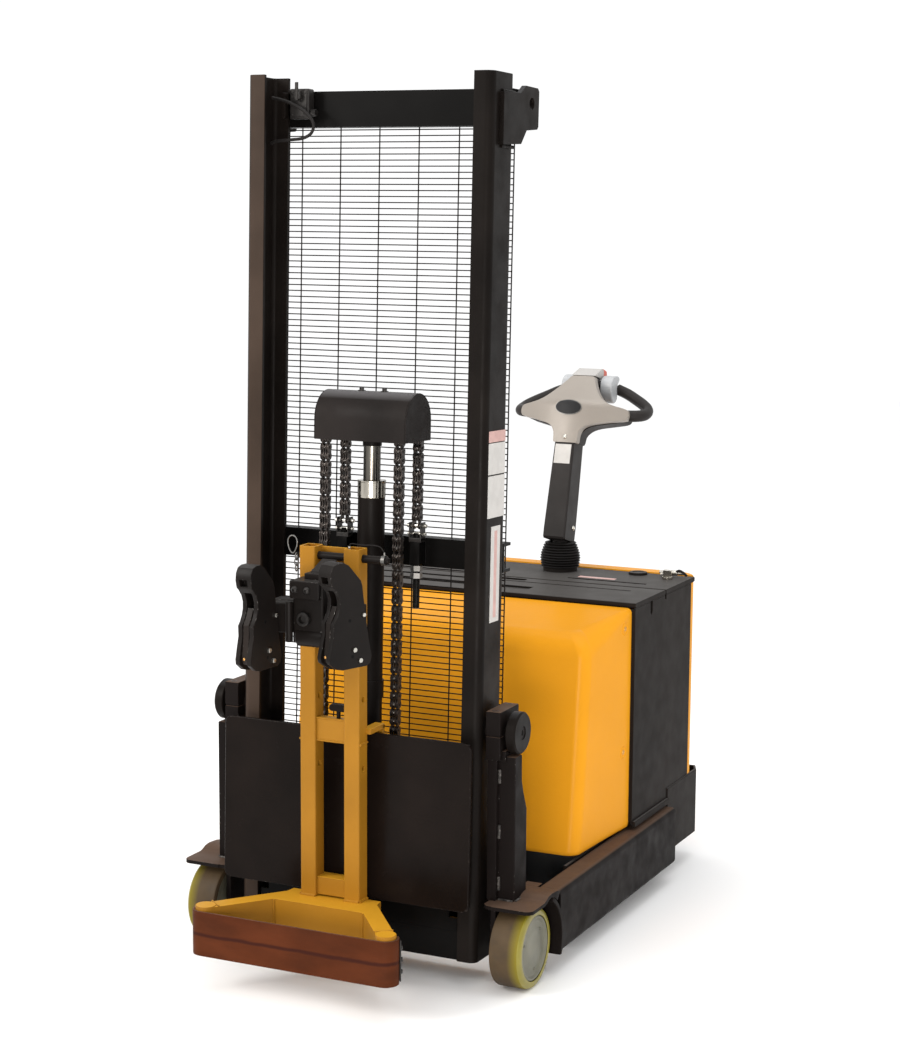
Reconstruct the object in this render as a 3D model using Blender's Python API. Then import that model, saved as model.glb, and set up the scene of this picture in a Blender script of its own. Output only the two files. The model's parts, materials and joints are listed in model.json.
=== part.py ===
"""Counterbalanced walkie stacker with a drum-handling attachment, as an assembly of separate parts.

Lengths are in millimetres in this script; build_mesh turns them into metres.
X runs across the truck, +Y to the operator's end, +Z up, and the floor is Z = 0.
The mast group is drawn upright with Y = 0 on the front of its rails, and an empty tilts it.
"""

import math

import bmesh
import bpy
import numpy as np
from mathutils import Matrix, Vector

MM = 0.001
GAP = 0.3

# Overall frame: the mast front stands this far ahead of the origin, which is under the middle of the box
MAST_FRONT_Y = -443.7

# Mast
MAST_TILT_DEG = 1.74
TRUNNION_Y = 52.0
TRUNNION_Z = 559.0
MAST_HALF = 294.5
RAIL_FLANGE = 44.0
RAIL_DEPTH = 114.0
RAIL_WALL = 9.0
RAIL_BEND = 18.0
RAIL_BOTTOM = 48.5
MAST_HEIGHT = 1957.0
MEMBER_Y = RAIL_DEPTH + GAP
MEMBER_WALL = 7.0
MEMBER_LIP = 40.0
TOP_MEMBER_Z = (1850.0, 1928.0)
MID_MEMBER_Z = (892.0, 956.0)
MESH_Y = 154.6
MESH_WIRE = 3.0
MESH_HALF = 276.0
MESH_Z = (452.0, 1900.0)
MESH_PITCH_X = 97.0

# Lift cylinder, crosshead and chains
CYLINDER_Y = 50.0
BARREL_R = 32.0
BARREL_BORE_R = 26.0
BARREL_Z = (62.5, 1040.7)
GLAND_R = 34.0
GLAND_Z = (1041.0, 1083.0)
ROD_R = 21.0
ROD_BOTTOM = 132.0
SHEAVE_Z = 1216.0
SHEAVE_R = 46.0
SHEAVE_HALF = 8.0
CHAIN_X = 90.0
CHAIN_HALF_X = 11.5
CHAIN_HALF_Y = 8.5
COVER_R = 62.0
COVER_WALL = 4.0
COVER_HALF = 112.0
COVER_BOTTOM = 1172.0
ANCHOR_TOP = 972.0

# Carriage
PLATE_HALF = 303.0
PLATE_Y = (-59.4, -49.4)
PLATE_Z = (178.0, 547.0)
SIDE_PLATE_X = (228.0, 240.0)
ROLLER_R = 47.6
ROLLER_Y = 57.0
ROLLER_X = (252.0, 279.0)
ROLLER_ZS = (245.0, 455.0)
LUG_TOP = 500.0

# Drum attachment, which hangs plumb from the carriage plate
TUBE_X = (34.5, 72.0)
TUBE_Y = (-131.0, -91.0)
TUBE_Z = (190.0, 960.0)
PIN_Y = -111.0
PIN_Z = 939.0
PIN_R = 8.5
CRADLE_Z = (86.0, 189.0)
POST_X = 217.0
POST_Y = -288.0
POST_R = 23.0
BELT_Z = (84.0, 183.0)
BELT_THICK = 5.0
BEAK_HALF = 19.5
BEAK_ROOTS = {1: (128.0, -208.0, 0.0), -1: (-72.0, -240.0, -13.0)}
BEAK_TURNS_DEG = {1: -19.0, -1: -3.0}
BEAK_LENGTH = 112.0

# Chassis
ARM_X = (369.0, 429.0)
ARM_Z = (45.5, 190.0)
ARM_FRONT = 141.0
ARM_REAR = 892.0
WHEEL_Y = 35.5
WHEEL_R = 89.5
WHEEL_X = (343.0, 416.0)
AXLE_R = 14.0
WHEEL_FACETS = 40
FACET = math.cos(math.pi / WHEEL_FACETS)
FENDER_Z = (184.0, 192.0)
POST_TOP = 505.0
BLOCK_TOP = 611.0
FRAME_HALF = ARM_X[0] - GAP
SKIRT_Z = (68.0, 261.0)
SKIRT_REAR = 1145.0
BODY_HALF = 402.0
BODY_TOP = 746.0
COWL_REAR = 648.0
COVER_REAR = 1046.0
TOP_REAR = 1072.0
TOP_SPLIT = 857.0
REAR_COVER_REAR = 1118.0

# Drive, steering and tiller
STEER_X = 57.0
STEER_Y = 1010.0
DRIVE_WHEEL_R = 115.0
DRIVE_WHEEL_HALF = 37.0
TILLER_PIVOT_Z = 790.0
TILLER_LEAN_DEG = 15.5
HEAD_BEND = 385.0
THROTTLE_V = 80.0
THROTTLE_U = 448.0
TILT_PIN_Z = 128.0
TILT_CHASSIS_Y = 425.0
TILT_MAST_Y = 139.0

BLACK = (0.018, 0.017, 0.018, 1.0)
YELLOW = (0.90, 0.42, 0.02, 1.0)
FRAME_YELLOW = (0.83, 0.52, 0.10, 1.0)
CHARCOAL = (0.045, 0.043, 0.045, 1.0)


# ---------------------------------------------------------------- tools

def clear_scene():
    for item in list(bpy.data.objects):
        bpy.data.objects.remove(item)


def material(name, colour, roughness, metallic=0.0):
    made = bpy.data.materials.new(name)
    made.use_nodes = True
    shader = made.node_tree.nodes["Principled BSDF"]
    shader.inputs["Base Color"].default_value = colour
    shader.inputs["Roughness"].default_value = roughness
    shader.inputs["Metallic"].default_value = metallic
    return made


def empty(name, location=(0.0, 0.0, 0.0), parent=None, tilt_x_deg=0.0):
    """An empty at a place in millimetres. Its children are drawn in its parent's own upright frame."""
    made = bpy.data.objects.new(name, None)
    bpy.context.scene.collection.objects.link(made)
    pivot = Vector(location)
    made["pivot"] = list(location)
    if parent is None:
        made.location = pivot * MM
    else:
        made.parent = parent
        made.location = (pivot - Vector(parent["pivot"])) * MM
    made.rotation_euler = (math.radians(tilt_x_deg), 0.0, 0.0)
    return made


def prism(outline, axis, low, high):
    """A closed solid: an outline pushed along an axis. The outline's two numbers are the other axes in X, Y, Z order."""
    solid = bmesh.new()
    order = {"X": (1, 2, 0), "Y": (0, 2, 1), "Z": (0, 1, 2)}[axis]
    rings = []
    for level in (low, high):
        ring = []
        for first, second in outline:
            point = [0.0, 0.0, 0.0]
            point[order[0]] = first
            point[order[1]] = second
            point[order[2]] = level
            ring.append(solid.verts.new(point))
        rings.append(ring)
    count = len(outline)
    solid.faces.new(rings[0])
    solid.faces.new(rings[1])
    for i in range(count):
        j = (i + 1) % count
        solid.faces.new((rings[0][i], rings[0][j], rings[1][j], rings[1][i]))
    bmesh.ops.recalc_face_normals(solid, faces=solid.faces)
    return solid


def box(xs, ys, zs):
    return prism([(xs[0], ys[0]), (xs[1], ys[0]), (xs[1], ys[1]), (xs[0], ys[1])], "Z", zs[0], zs[1])


def rounded_box(xs, ys, zs, radius, axis, steps=4):
    """A box whose four edges along one axis are rounded."""
    spans = {"X": (ys, zs, xs), "Y": (xs, zs, ys), "Z": (xs, ys, zs)}[axis]
    outline = rounded_outline(spans[0], spans[1], radius, steps)
    return prism(outline, axis, spans[2][0], spans[2][1])


def rounded_outline(first, second, radius, steps=4):
    corners = ((first[1], second[1], 0), (first[0], second[1], 90), (first[0], second[0], 180), (first[1], second[0], 270))
    points = []
    for a, b, start in corners:
        centre_a = a - math.copysign(radius, a - sum(first) / 2)
        centre_b = b - math.copysign(radius, b - sum(second) / 2)
        points += arc(centre_a, centre_b, radius, start, start + 90, steps)
    return points


def arc(a, b, radius, start_deg, end_deg, steps):
    points = []
    for i in range(steps + 1):
        angle = math.radians(start_deg + (end_deg - start_deg) * i / steps)
        points.append((a + radius * math.cos(angle), b + radius * math.sin(angle)))
    return points


def turned(profile, axis, centre, segments=32):
    """A closed solid of revolution. The profile is (distance along the axis, radius), a closed outline."""
    solid = bmesh.new()
    order = {"X": (0, 1, 2), "Y": (1, 2, 0), "Z": (2, 0, 1)}[axis]
    rings = []
    for along, radius in profile:
        ring = []
        count = 1 if radius == 0.0 else segments
        for i in range(count):
            angle = 2.0 * math.pi * (i + 0.5) / segments
            point = [0.0, 0.0, 0.0]
            point[order[0]] = along
            point[order[1]] = radius * math.cos(angle)
            point[order[2]] = radius * math.sin(angle)
            ring.append(solid.verts.new(Vector(point) + Vector(centre)))
        rings.append(ring)
    for ring, other in zip(rings, rings[1:] + rings[:1]):
        if len(ring) == 1 and len(other) == 1:
            continue
        for i in range(segments):
            j = (i + 1) % segments
            corners = [ring[i % len(ring)], ring[j % len(ring)], other[j % len(other)], other[i % len(other)]]
            unique = list(dict.fromkeys(corners))
            solid.faces.new(unique)
    bmesh.ops.recalc_face_normals(solid, faces=solid.faces)
    return solid


def rod(axis, centre, radius, low, high, segments=24):
    return turned([(low, 0.0), (low, radius), (high, radius), (high, 0.0)], axis, centre, segments)


def build_mesh(name, solid):
    mesh = bpy.data.meshes.new(name)
    solid.to_mesh(mesh)
    solid.free()
    mesh.transform(Matrix.Scale(MM, 4))
    return mesh


def combine(name, base, joined=(), cut=()):
    """One mesh from solids: the base, with others joined to it, then others cut from it."""
    scene = bpy.context.scene.collection
    target = bpy.data.objects.new(name + "_work", build_mesh(name, base))
    scene.objects.link(target)
    for operation, solids in (("UNION", joined), ("DIFFERENCE", cut)):
        for solid in solids:
            tool = bpy.data.objects.new(name + "_tool", build_mesh(name + "_tool", solid))
            scene.objects.link(tool)
            step = target.modifiers.new("step", "BOOLEAN")
            step.operation = operation
            step.object = tool
            bpy.context.view_layer.update()
            graph = bpy.context.evaluated_depsgraph_get()
            result = bpy.data.meshes.new_from_object(target.evaluated_get(graph))
            target.modifiers.remove(step)
            target.data = result
            bpy.data.objects.remove(tool)
    mesh = target.data
    bpy.data.objects.remove(target)
    return mesh


def place(name, mesh, look, group, origin=(0.0, 0.0, 0.0), turn_z_deg=0.0, smooth=False):
    """Puts a part in its group. Its mesh is drawn round the group's frame, and its origin goes where it is told."""
    if isinstance(mesh, bmesh.types.BMesh):
        mesh = build_mesh(name, mesh)
    mesh.name = name
    mesh.transform(Matrix.Translation(-Vector(origin) * MM))
    mesh.materials.clear()
    mesh.materials.append(look)
    part = bpy.data.objects.new(name, mesh)
    bpy.context.scene.collection.objects.link(part)
    part.parent = group
    part.location = (Vector(origin) - Vector(group["pivot"])) * MM
    part.rotation_euler = (0.0, 0.0, math.radians(turn_z_deg))
    if smooth:
        mesh.shade_smooth()
        mesh.set_sharp_from_angle(angle=math.radians(35))
    return part


def on_mast(y, z):
    """The place in the upright mast drawing of a point that stands at (y, z) on the truck."""
    lean = math.radians(MAST_TILT_DEG)
    dy = y - TRUNNION_Y
    dz = z - TRUNNION_Z
    return TRUNNION_Y + dy * math.cos(lean) - dz * math.sin(lean), TRUNNION_Z + dy * math.sin(lean) + dz * math.cos(lean)


def mirrored(outline):
    return [(-a, b) for a, b in outline]


def side_name(name, side):
    return name + ("_right" if side > 0 else "_left")


def span(side, low, high):
    """An X range on one side of the truck."""
    return (low, high) if side > 0 else (-high, -low)


# ---------------------------------------------------------------- mast

def rail_outline(side):
    """The bent channel: front flange, web and rear flange, open towards the middle."""
    outer = MAST_HALF
    inner = outer - RAIL_FLANGE
    wall = RAIL_WALL
    bend = RAIL_BEND
    inside = bend - wall
    points = [(inner, 0.0)]
    points += arc(outer - bend, bend, bend, 270, 360, 4)
    points += arc(outer - bend, RAIL_DEPTH - bend, bend, 0, 90, 4)
    points += [(inner, RAIL_DEPTH), (inner, RAIL_DEPTH - wall)]
    points += arc(outer - bend, RAIL_DEPTH - bend, inside, 90, 0, 3)
    points += arc(outer - bend, bend, inside, 0, -90, 3)
    points += [(inner, wall)]
    return points if side > 0 else mirrored(points)


def mast_rail(side, look, group):
    """A rail with its welded ear plate at the top and its trunnion pin with the retaining disc."""
    ear_outline = [(36, 1806), (130, 1812), (152, 1842), (220, 1847), (221, 1935), (151, 1936), (124, 1919), (36, 1916)]
    ear = prism(ear_outline, "X", *span(side, MAST_HALF - 4, MAST_HALF + 10))
    ear_hole = rod("X", (0, 182, 1900), 12.5, *span(side, MAST_HALF - 20, MAST_HALF + 20))
    pin_profile = [(MAST_HALF - 5, 0.0), (MAST_HALF - 5, 25.0), (351, 25.0), (351, 46.0), (371, 46.0), (373.5, 43.5)]
    pin_profile += [(373.5, 12.0), (362, 12.0), (362, 0.0)]
    if side < 0:
        pin_profile = [(-along, radius) for along, radius in pin_profile]
    pin = turned(pin_profile, "X", (0, TRUNNION_Y, TRUNNION_Z), 36)
    rail = prism(rail_outline(side), "Z", RAIL_BOTTOM, MAST_HEIGHT)
    name = side_name("mast_rail", side)
    place(name, combine(name, rail, (ear, pin), (ear_hole,)), look, group)


def crossmember(name, zs, look, group, extra=()):
    """A folded channel across the back of both rails, open to the rear."""
    y = MEMBER_Y
    wall = MEMBER_WALL
    low, high = zs
    back = y + MEMBER_LIP
    outline = [(y, low), (back, low), (back, low + wall), (y + wall, low + wall)]
    outline += [(y + wall, high - wall), (back, high - wall), (back, high), (y, high)]
    channel = prism(outline, "X", -MAST_HALF + 4.5, MAST_HALF - 4.5)
    place(name, combine(name, channel, extra), look, group)


def chain_anchor(side):
    """A welded block on the middle member with the adjusting rod that ends one chain."""
    x = side * CHAIN_X
    block = box((x - 12, x + 12), (84, MEMBER_Y + 3), (898, 950))
    bolt = rod("Z", (x, 96, 0), 8.0, 802, ANCHOR_TOP - 4, 12)
    return block, bolt


def bottom_crossmember(look, group):
    """The foot of the mast: a plate between the rails that carries the lift cylinder and the tilt lug."""
    half = MAST_HALF - RAIL_FLANGE - GAP
    pin_y, pin_z = on_mast(TILT_MAST_Y, TILT_PIN_Z)
    foot = box((-half, half), (10, 112), (50, 62))
    front = box((-half, half), (8, 17.5), (49, 112))
    rear = box((-half, half), (104, 112), (49, 160))
    lug_left = box((-24, -14), (108, pin_y + 18), (pin_z - 22, pin_z + 22))
    lug_right = box((14, 24), (108, pin_y + 18), (pin_z - 22, pin_z + 22))
    hole = rod("X", (0, pin_y, pin_z), 11.4, -40, 40, 16)
    mesh = combine("bottom_crossmember", foot, (front, rear, lug_left, lug_right), (hole,))
    place("bottom_crossmember", mesh, look, group)


def mesh_guard(look, group):
    """A flat wire grille. Only every tenth cross wire is drawn here."""
    wire = MESH_WIRE
    half_wires = [MESH_PITCH_X * (i + 0.5) for i in range(3)]
    columns = sorted([-MESH_HALF, MESH_HALF] + half_wires + [-x for x in half_wires])
    rows = list(np.linspace(MESH_Z[0] + wire / 2, MESH_Z[1] - wire / 2, 12))
    xs = sorted([x + d for x in columns for d in (-wire / 2, wire / 2)])
    zs = sorted([z + d for z in rows for d in (-wire / 2, wire / 2)])
    solid = bmesh.new()
    front = [[solid.verts.new((x, MESH_Y, z)) for z in zs] for x in xs]
    back = [[solid.verts.new((x, MESH_Y + wire, z)) for z in zs] for x in xs]
    filled = {}
    for i in range(len(xs) - 1):
        for j in range(len(zs) - 1):
            filled[i, j] = i % 2 == 0 or j % 2 == 0
    for (i, j), full in filled.items():
        if not full:
            continue
        solid.faces.new((front[i][j], front[i + 1][j], front[i + 1][j + 1], front[i][j + 1]))
        solid.faces.new((back[i][j], back[i][j + 1], back[i + 1][j + 1], back[i + 1][j]))
        sides = (((i - 1, j), (i, j), (i, j + 1)), ((i + 1, j), (i + 1, j), (i + 1, j + 1)))
        sides += (((i, j - 1), (i, j), (i + 1, j)), ((i, j + 1), (i, j + 1), (i + 1, j + 1)))
        for neighbour, a, b in sides:
            if not filled.get(neighbour, False):
                solid.faces.new((front[a[0]][a[1]], front[b[0]][b[1]], back[b[0]][b[1]], back[a[0]][a[1]]))
    bmesh.ops.recalc_face_normals(solid, faces=solid.faces)
    place("mesh_guard", solid, look, group)


def lift_cylinder(black, chrome, group):
    low, high = BARREL_Z
    floor = low + 20
    barrel = [(low, 0.0), (low, BARREL_R), (high, BARREL_R), (high, BARREL_BORE_R), (floor, BARREL_BORE_R), (floor, 0.0)]
    place("lift_cylinder", turned(barrel, "Z", (0, CYLINDER_Y, 0)), black, group, smooth=True)
    low, high = GLAND_Z
    bore = ROD_R + 0.4
    gland = [(low, bore), (low, GLAND_R), (high - 3, GLAND_R), (high, GLAND_R - 3), (high, bore)]
    place("cylinder_gland", turned(gland, "Z", (0, CYLINDER_Y, 0)), chrome, group, smooth=True)


def limit_switch(look, group):
    """The height switch on its bracket in front of the top member."""
    body = rounded_box((-233, -182), (78, 104), (1864, 1934), 5, "Y", 2)
    bracket = box((-226, -190), (100, MEMBER_Y - GAP), (1870, 1915))
    arm = box((-214, -201), (64, 82), (1904, 1926))
    place("limit_switch", combine("limit_switch", body, (bracket, arm)), look, group)


def switch_cable(look, group):
    """The lead of the limit switch: down from the switch, round in a loose bend and back into the left rail."""
    route = [(-268, 64, 1912), (-236, 60, 1905), (-213, 58, 1897), (-188, 58, 1884), (-168, 58, 1867), (-160, 58, 1850)]
    route += [(-166, 57, 1833), (-186, 57, 1823), (-212, 56, 1820), (-238, 56, 1818), (-256, 58, 1816), (-268, 60, 1812)]
    curve = bpy.data.curves.new("switch_cable", "CURVE")
    curve.dimensions = "3D"
    curve.bevel_depth = 3.5 * MM
    curve.bevel_resolution = 2
    curve.use_fill_caps = True
    points = smooth_route(route, 3)
    spline = curve.splines.new("POLY")
    spline.points.add(len(points) - 1)
    for item, point in zip(spline.points, points):
        local = (Vector(point) - Vector(group["pivot"])) * MM
        item.co = (*local, 1.0)
    part = bpy.data.objects.new("switch_cable", curve)
    curve.materials.append(look)
    bpy.context.scene.collection.objects.link(part)
    part.parent = group


def smooth_route(route, steps):
    """Points read from a Catmull-Rom curve through a route's own points."""
    ends = [Vector(route[0]) * 2 - Vector(route[1])] + [Vector(p) for p in route]
    ends.append(Vector(route[-1]) * 2 - Vector(route[-2]))
    points = []
    for a, b, c, d in zip(ends, ends[1:], ends[2:], ends[3:]):
        for i in range(steps):
            t = i / steps
            points.append(0.5 * (2 * b + (c - a) * t + (2 * a - 5 * b + 4 * c - d) * t * t + (3 * b - a - 3 * c + d) * t ** 3))
    points.append(Vector(route[-1]))
    return points


# ---------------------------------------------------------------- piston, crosshead and chains

def piston_parts(black, chrome, group):
    piston = [(ROD_BOTTOM, 0.0), (ROD_BOTTOM, BARREL_BORE_R - 0.4), (ROD_BOTTOM + 30, BARREL_BORE_R - 0.4)]
    piston += [(ROD_BOTTOM + 30, ROD_R), (COVER_BOTTOM - GAP, ROD_R), (COVER_BOTTOM - GAP, 0.0)]
    place("lift_rod", turned(piston, "Z", (0, CYLINDER_Y, 0)), chrome, group, smooth=True)

    yoke = box((-68, 68), (28, 72), (COVER_BOTTOM, SHEAVE_Z + 20))
    rib = box((-40, 40), (43, 57), (SHEAVE_Z, SHEAVE_Z + 56))
    axle = rod("X", (0, CYLINDER_Y, SHEAVE_Z), 14.0, -105, 105)
    place("crosshead", combine("crosshead", yoke, (rib, axle)), black, group)

    outer = [(CYLINDER_Y + COVER_R, COVER_BOTTOM)] + arc(CYLINDER_Y, SHEAVE_Z, COVER_R, 0, 180, 14)
    outer += [(CYLINDER_Y - COVER_R, COVER_BOTTOM)]
    inner_r = COVER_R - COVER_WALL
    inner = [(CYLINDER_Y + inner_r, COVER_BOTTOM - 10)] + arc(CYLINDER_Y, SHEAVE_Z, inner_r, 0, 180, 14)
    inner += [(CYLINDER_Y - inner_r, COVER_BOTTOM - 10)]
    shell = prism(outer, "X", -COVER_HALF, COVER_HALF)
    hollow = prism(inner, "X", -COVER_HALF + COVER_WALL, COVER_HALF - COVER_WALL)
    place("crosshead_cover", combine("crosshead_cover", shell, (), (hollow,)), black, group)


def chain_sheave(side, look, group):
    half = SHEAVE_HALF
    groove = SHEAVE_R - CHAIN_HALF_Y - GAP
    profile = [(-half, 14.4), (-half, groove), (half, groove), (half, 14.4)]
    centre = (side * CHAIN_X, CYLINDER_Y, SHEAVE_Z)
    place(side_name("chain_sheave", side), turned(profile, "X", centre, 28), look, group, centre, smooth=True)


def chain_run(name, side, y, low, high, look, group):
    """One straight run of roller chain, drawn as its envelope."""
    x = side * CHAIN_X
    run = rounded_box((x - CHAIN_HALF_X, x + CHAIN_HALF_X), (y - CHAIN_HALF_Y, y + CHAIN_HALF_Y), (low, high), 3, "Z", 2)
    place(side_name(name, side), run, look, group)


# ---------------------------------------------------------------- carriage

def carriage_parts(look, group):
    plate = rounded_box((-PLATE_HALF, PLATE_HALF), PLATE_Y, PLATE_Z, 14, "Y", 4)
    place("carriage_plate", plate, look, group)

    side_plates = [box(span(side, *SIDE_PLATE_X), (PLATE_Y[1] + GAP, 92), (205, 500)) for side in (1, -1)]
    bars = [box((-232, 232), (PLATE_Y[1] + GAP, -12), zs) for zs in ((470, 515), (205, 240))]
    lugs = [box((side * CHAIN_X - 13, side * CHAIN_X + 13), (-20, 16), (LUG_TOP - 28, LUG_TOP)) for side in (1, -1)]
    axles = []
    for side in (1, -1):
        for z in ROLLER_ZS:
            axles.append(rod("X", (0, ROLLER_Y, z), 15.0, *span(side, SIDE_PLATE_X[1] - 5, ROLLER_X[1]), 20))
    mesh = combine("carriage_frame", side_plates[0], bars + [side_plates[1]] + lugs + axles)
    place("carriage_frame", mesh, look, group)


def carriage_roller(side, z, level, look, group):
    low, high = ROLLER_X
    bore = 15.4
    profile = [(low, bore), (low, ROLLER_R - 3), (low + 3, ROLLER_R), (high - 3, ROLLER_R), (high, ROLLER_R - 3), (high, bore)]
    if side < 0:
        profile = [(-along, radius) for along, radius in profile]
    centre = (0.0, ROLLER_Y, z)
    origin = (side * (low + high) / 2, ROLLER_Y, z)
    name = side_name("carriage_roller_" + level, side)
    place(name, turned(profile, "X", centre, 28), look, group, origin, smooth=True)


# ---------------------------------------------------------------- drum attachment

def drum_frame(look, group):
    """Two upright tubes joined by crossbars, with hooks over the carriage plate and a spacer at its foot."""
    tubes = [box(span(side, *TUBE_X), TUBE_Y, TUBE_Z) for side in (1, -1)]
    bars = [box((-50, 50), (-124, -96), zs) for zs in ((537, 588), (192, 234))]
    hooks = []
    for side in (1, -1):
        hooks.append(box(span(side, 60, 96), (-100, -33), (556, 571)))
        hooks.append(box(span(side, 60, 96), (-43, -33), (532, 560)))
    spacer = box((-60, 60), (-97, -72.5), (196, 228))
    holes = [rod("X", (0, PIN_Y, PIN_Z), PIN_R + 0.5, -100, 100, 20)]
    knob_stem = rod("Z", (12, PIN_Y, 0), 4.5, 580, 606, 14)
    knob_head = rounded_box((-8, 32), (PIN_Y - 7, PIN_Y + 7), (602, 618), 6, "Y", 3)
    joined = tubes + [bars[1]] + hooks + [spacer, knob_stem, knob_head]
    place("drum_frame", combine("drum_frame", bars[0], joined, holes), look, group)


def frame_pin(black, group):
    pin = [(-80, 0.0), (-80, 14.0), (-75, 14.0), (-75, PIN_R), (130, PIN_R), (134, PIN_R - 3), (134, 0.0)]
    place("frame_pin", turned(pin, "X", (0, PIN_Y, PIN_Z), 20), black, group, (0, PIN_Y, PIN_Z), smooth=True)


def gripper_block(look, group):
    """The casting on the tubes that carries the bar with both beaks."""
    back = box((-68, 68), (-160, TUBE_Y[0] - GAP), (772, 872))
    middle = rounded_box((-38, 38), (-226, -150), (768, 905), 8, "Z", 2)
    bar = box((-94, 142), (-206, -170), (790, 856))
    bracket = box((-92, -52), (-238, -204), (776, 846))
    boss = rod("Y", (0, 0, 818), 14.0, -234, -220, 20)
    place("gripper_block", combine("gripper_block", middle, (back, bar, bracket, boss)), look, group)


def beak_outline():
    """Side view of a beak as (distance back from its nose, height)."""
    lower = [(BEAK_LENGTH, 757), (108, 737), (22, 739), (-6, 756), (7, 809), (7, 832)]
    mouth = [(17, 846), (22, 862), (23, 878), (19, 893), (7, 911)]
    nose = [(0, 915), (-3, 934), (0, 952), (8, 959), (35, 960)]
    top = [(62, 940), (83, 917), (88, 890), (96, 835)]
    return lower + mouth + nose + top


def beak(side, black, steel, group):
    """A fixed beak that goes over the drum's rim, with a slot in its foot for the jaw."""
    x, root_y, drop = BEAK_ROOTS[side]
    turn = BEAK_TURNS_DEG[side]
    nose_y = root_y - BEAK_LENGTH
    plate = prism([(nose_y + back, z + drop) for back, z in beak_outline()], "X", x - BEAK_HALF, x + BEAK_HALF)
    slot = box((x - 8.3, x + 8.3), (nose_y - 20, nose_y + 64), (746 + drop, 900 + drop))
    origin = (x, root_y, 840)
    place(side_name("gripper_beak", side), combine("beak", plate, (), (slot,)), black, group, origin, turn)

    pivot = (x, nose_y + 46, 766 + drop)
    knuckle = rod("X", pivot, 14.0, -7.6 + 0, 7.6, 20)
    blade_outline = ((46, 756), (4, 752), (12, 806), (10, 838), (26, 870), (34, 858), (50, 776))
    blade = prism([(nose_y + back, z + drop) for back, z in blade_outline], "X", x - 7.6, x + 7.6)
    turned_round = Matrix.Rotation(math.radians(turn), 3, "Z")
    hinge = Vector(origin) + turned_round @ (Vector(pivot) - Vector(origin))
    name = side_name("gripper_jaw", side)
    part = place(name, combine("jaw", knuckle, (blade,)), steel, group, pivot, turn)
    part.location = (hinge - Vector(group["pivot"])) * MM


def cradle(look, group):
    """The V-shaped rest for the drum's side: a centre box and two arms that end in round posts."""
    arm_half = 20.0
    root = Vector((96, -134))
    post = Vector((POST_X, POST_Y))
    along = (post - root).normalized()
    outward = Vector((-along.y, along.x)) * arm_half
    heading = math.degrees(math.atan2(outward.y, outward.x))
    open_deg = math.degrees(math.acos(arm_half / POST_R))
    meet = (-183 - (root - outward).y) / along.y
    half = [(108, TUBE_Y[1] - 6), tuple(root + outward)]
    half += arc(post.x, post.y, POST_R, heading + open_deg, heading - 180 - open_deg, 14)
    half.append(tuple(root - outward + along * meet))
    place("cradle", prism(half + mirrored(half)[::-1], "Z", *CRADLE_Z), look, group)


def drum_belt(look, group):
    """The belt stretched across the cradle's posts, with its ends wrapped round them."""
    inner = POST_R + GAP
    outer = inner + BELT_THICK
    wrap_end = 40
    points = arc(POST_X, POST_Y, outer, wrap_end, -90, 8) + arc(-POST_X, POST_Y, outer, 270, 180 - wrap_end, 8)
    points += arc(-POST_X, POST_Y, inner, 180 - wrap_end, 270, 8) + arc(POST_X, POST_Y, inner, -90, wrap_end, 8)
    place("drum_belt", prism(points, "Z", *BELT_Z), look, group)


# ---------------------------------------------------------------- chassis

def straddle_arm(side, look, group):
    """A side arm with its wheel cheek, fender, stub axle, and the welded post and bearing of the mast trunnion."""
    arch = arc(WHEEL_Y, WHEEL_R, ARM_FRONT - WHEEL_Y, 0, 60, 6)
    rear_wall = [(ARM_FRONT, ARM_Z[0])] + arch + [(WHEEL_Y + 45, ARM_Z[1]), (ARM_FRONT + 40, ARM_Z[1]), (ARM_FRONT + 40, ARM_Z[0])]
    outer = 434.0
    arm = box(span(side, *ARM_X), (ARM_FRONT + 10, ARM_REAR), ARM_Z)
    guard = prism(rear_wall, "X", *span(side, 332, outer))
    plan = [(312, 110), (318, 20), (338, -14), (360, -36), (418, -30), (434, -12), (434, 110)]
    plan = plan if side > 0 else mirrored(plan)
    fender = prism(plan, "Z", *FENDER_Z)
    cheek = prism([(-5, 50), (150, 50), (150, 188), (20, 188), (-5, 130)], "X", *span(side, 326, 338))
    axle = rod("X", (0, WHEEL_Y, WHEEL_R), AXLE_R, *span(side, 330, 398), 20)
    post = prism([(20, 188), (20, POST_TOP), (56, POST_TOP), (56, 450), (84, 385), (84, 188)], "X", *span(side, 317, 371))
    block = box(span(side, 307, 342), (2, 102), (POST_TOP - 2, BLOCK_TOP))
    foot = box(span(side, 312, 344), (20, 84), (POST_TOP - 30, POST_TOP))
    bore = rod("X", (0, TRUNNION_Y, TRUNNION_Z), 25.5, *span(side, 290, 349), 36)
    name = side_name("straddle_arm", side)
    place(name, combine(name, arm, (guard, fender, cheek, axle, post, block, foot), (bore,)), look, group)


def load_wheel(side, look, group):
    inner, outer = WHEEL_X
    r = WHEEL_R / FACET
    profile = [(inner, AXLE_R + 0.4), (inner, r - 5), (inner + 5, r), (outer - 8, r), (outer, r - 6), (outer, r - 16)]
    profile += [(outer - 5, r - 18), (outer - 5, r - 34), (outer + 1, r - 42), (outer + 1, 0.0), (398 + 2, 0.0), (398 + 2, AXLE_R + 0.4)]
    if side < 0:
        profile = [(-along, radius) for along, radius in profile]
    centre = (0.0, WHEEL_Y, WHEEL_R)
    origin = (side * (inner + outer) / 2, WHEEL_Y, WHEEL_R)
    place(side_name("load_wheel", side), turned(profile, "X", centre, WHEEL_FACETS), look, group, origin, smooth=True)


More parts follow.
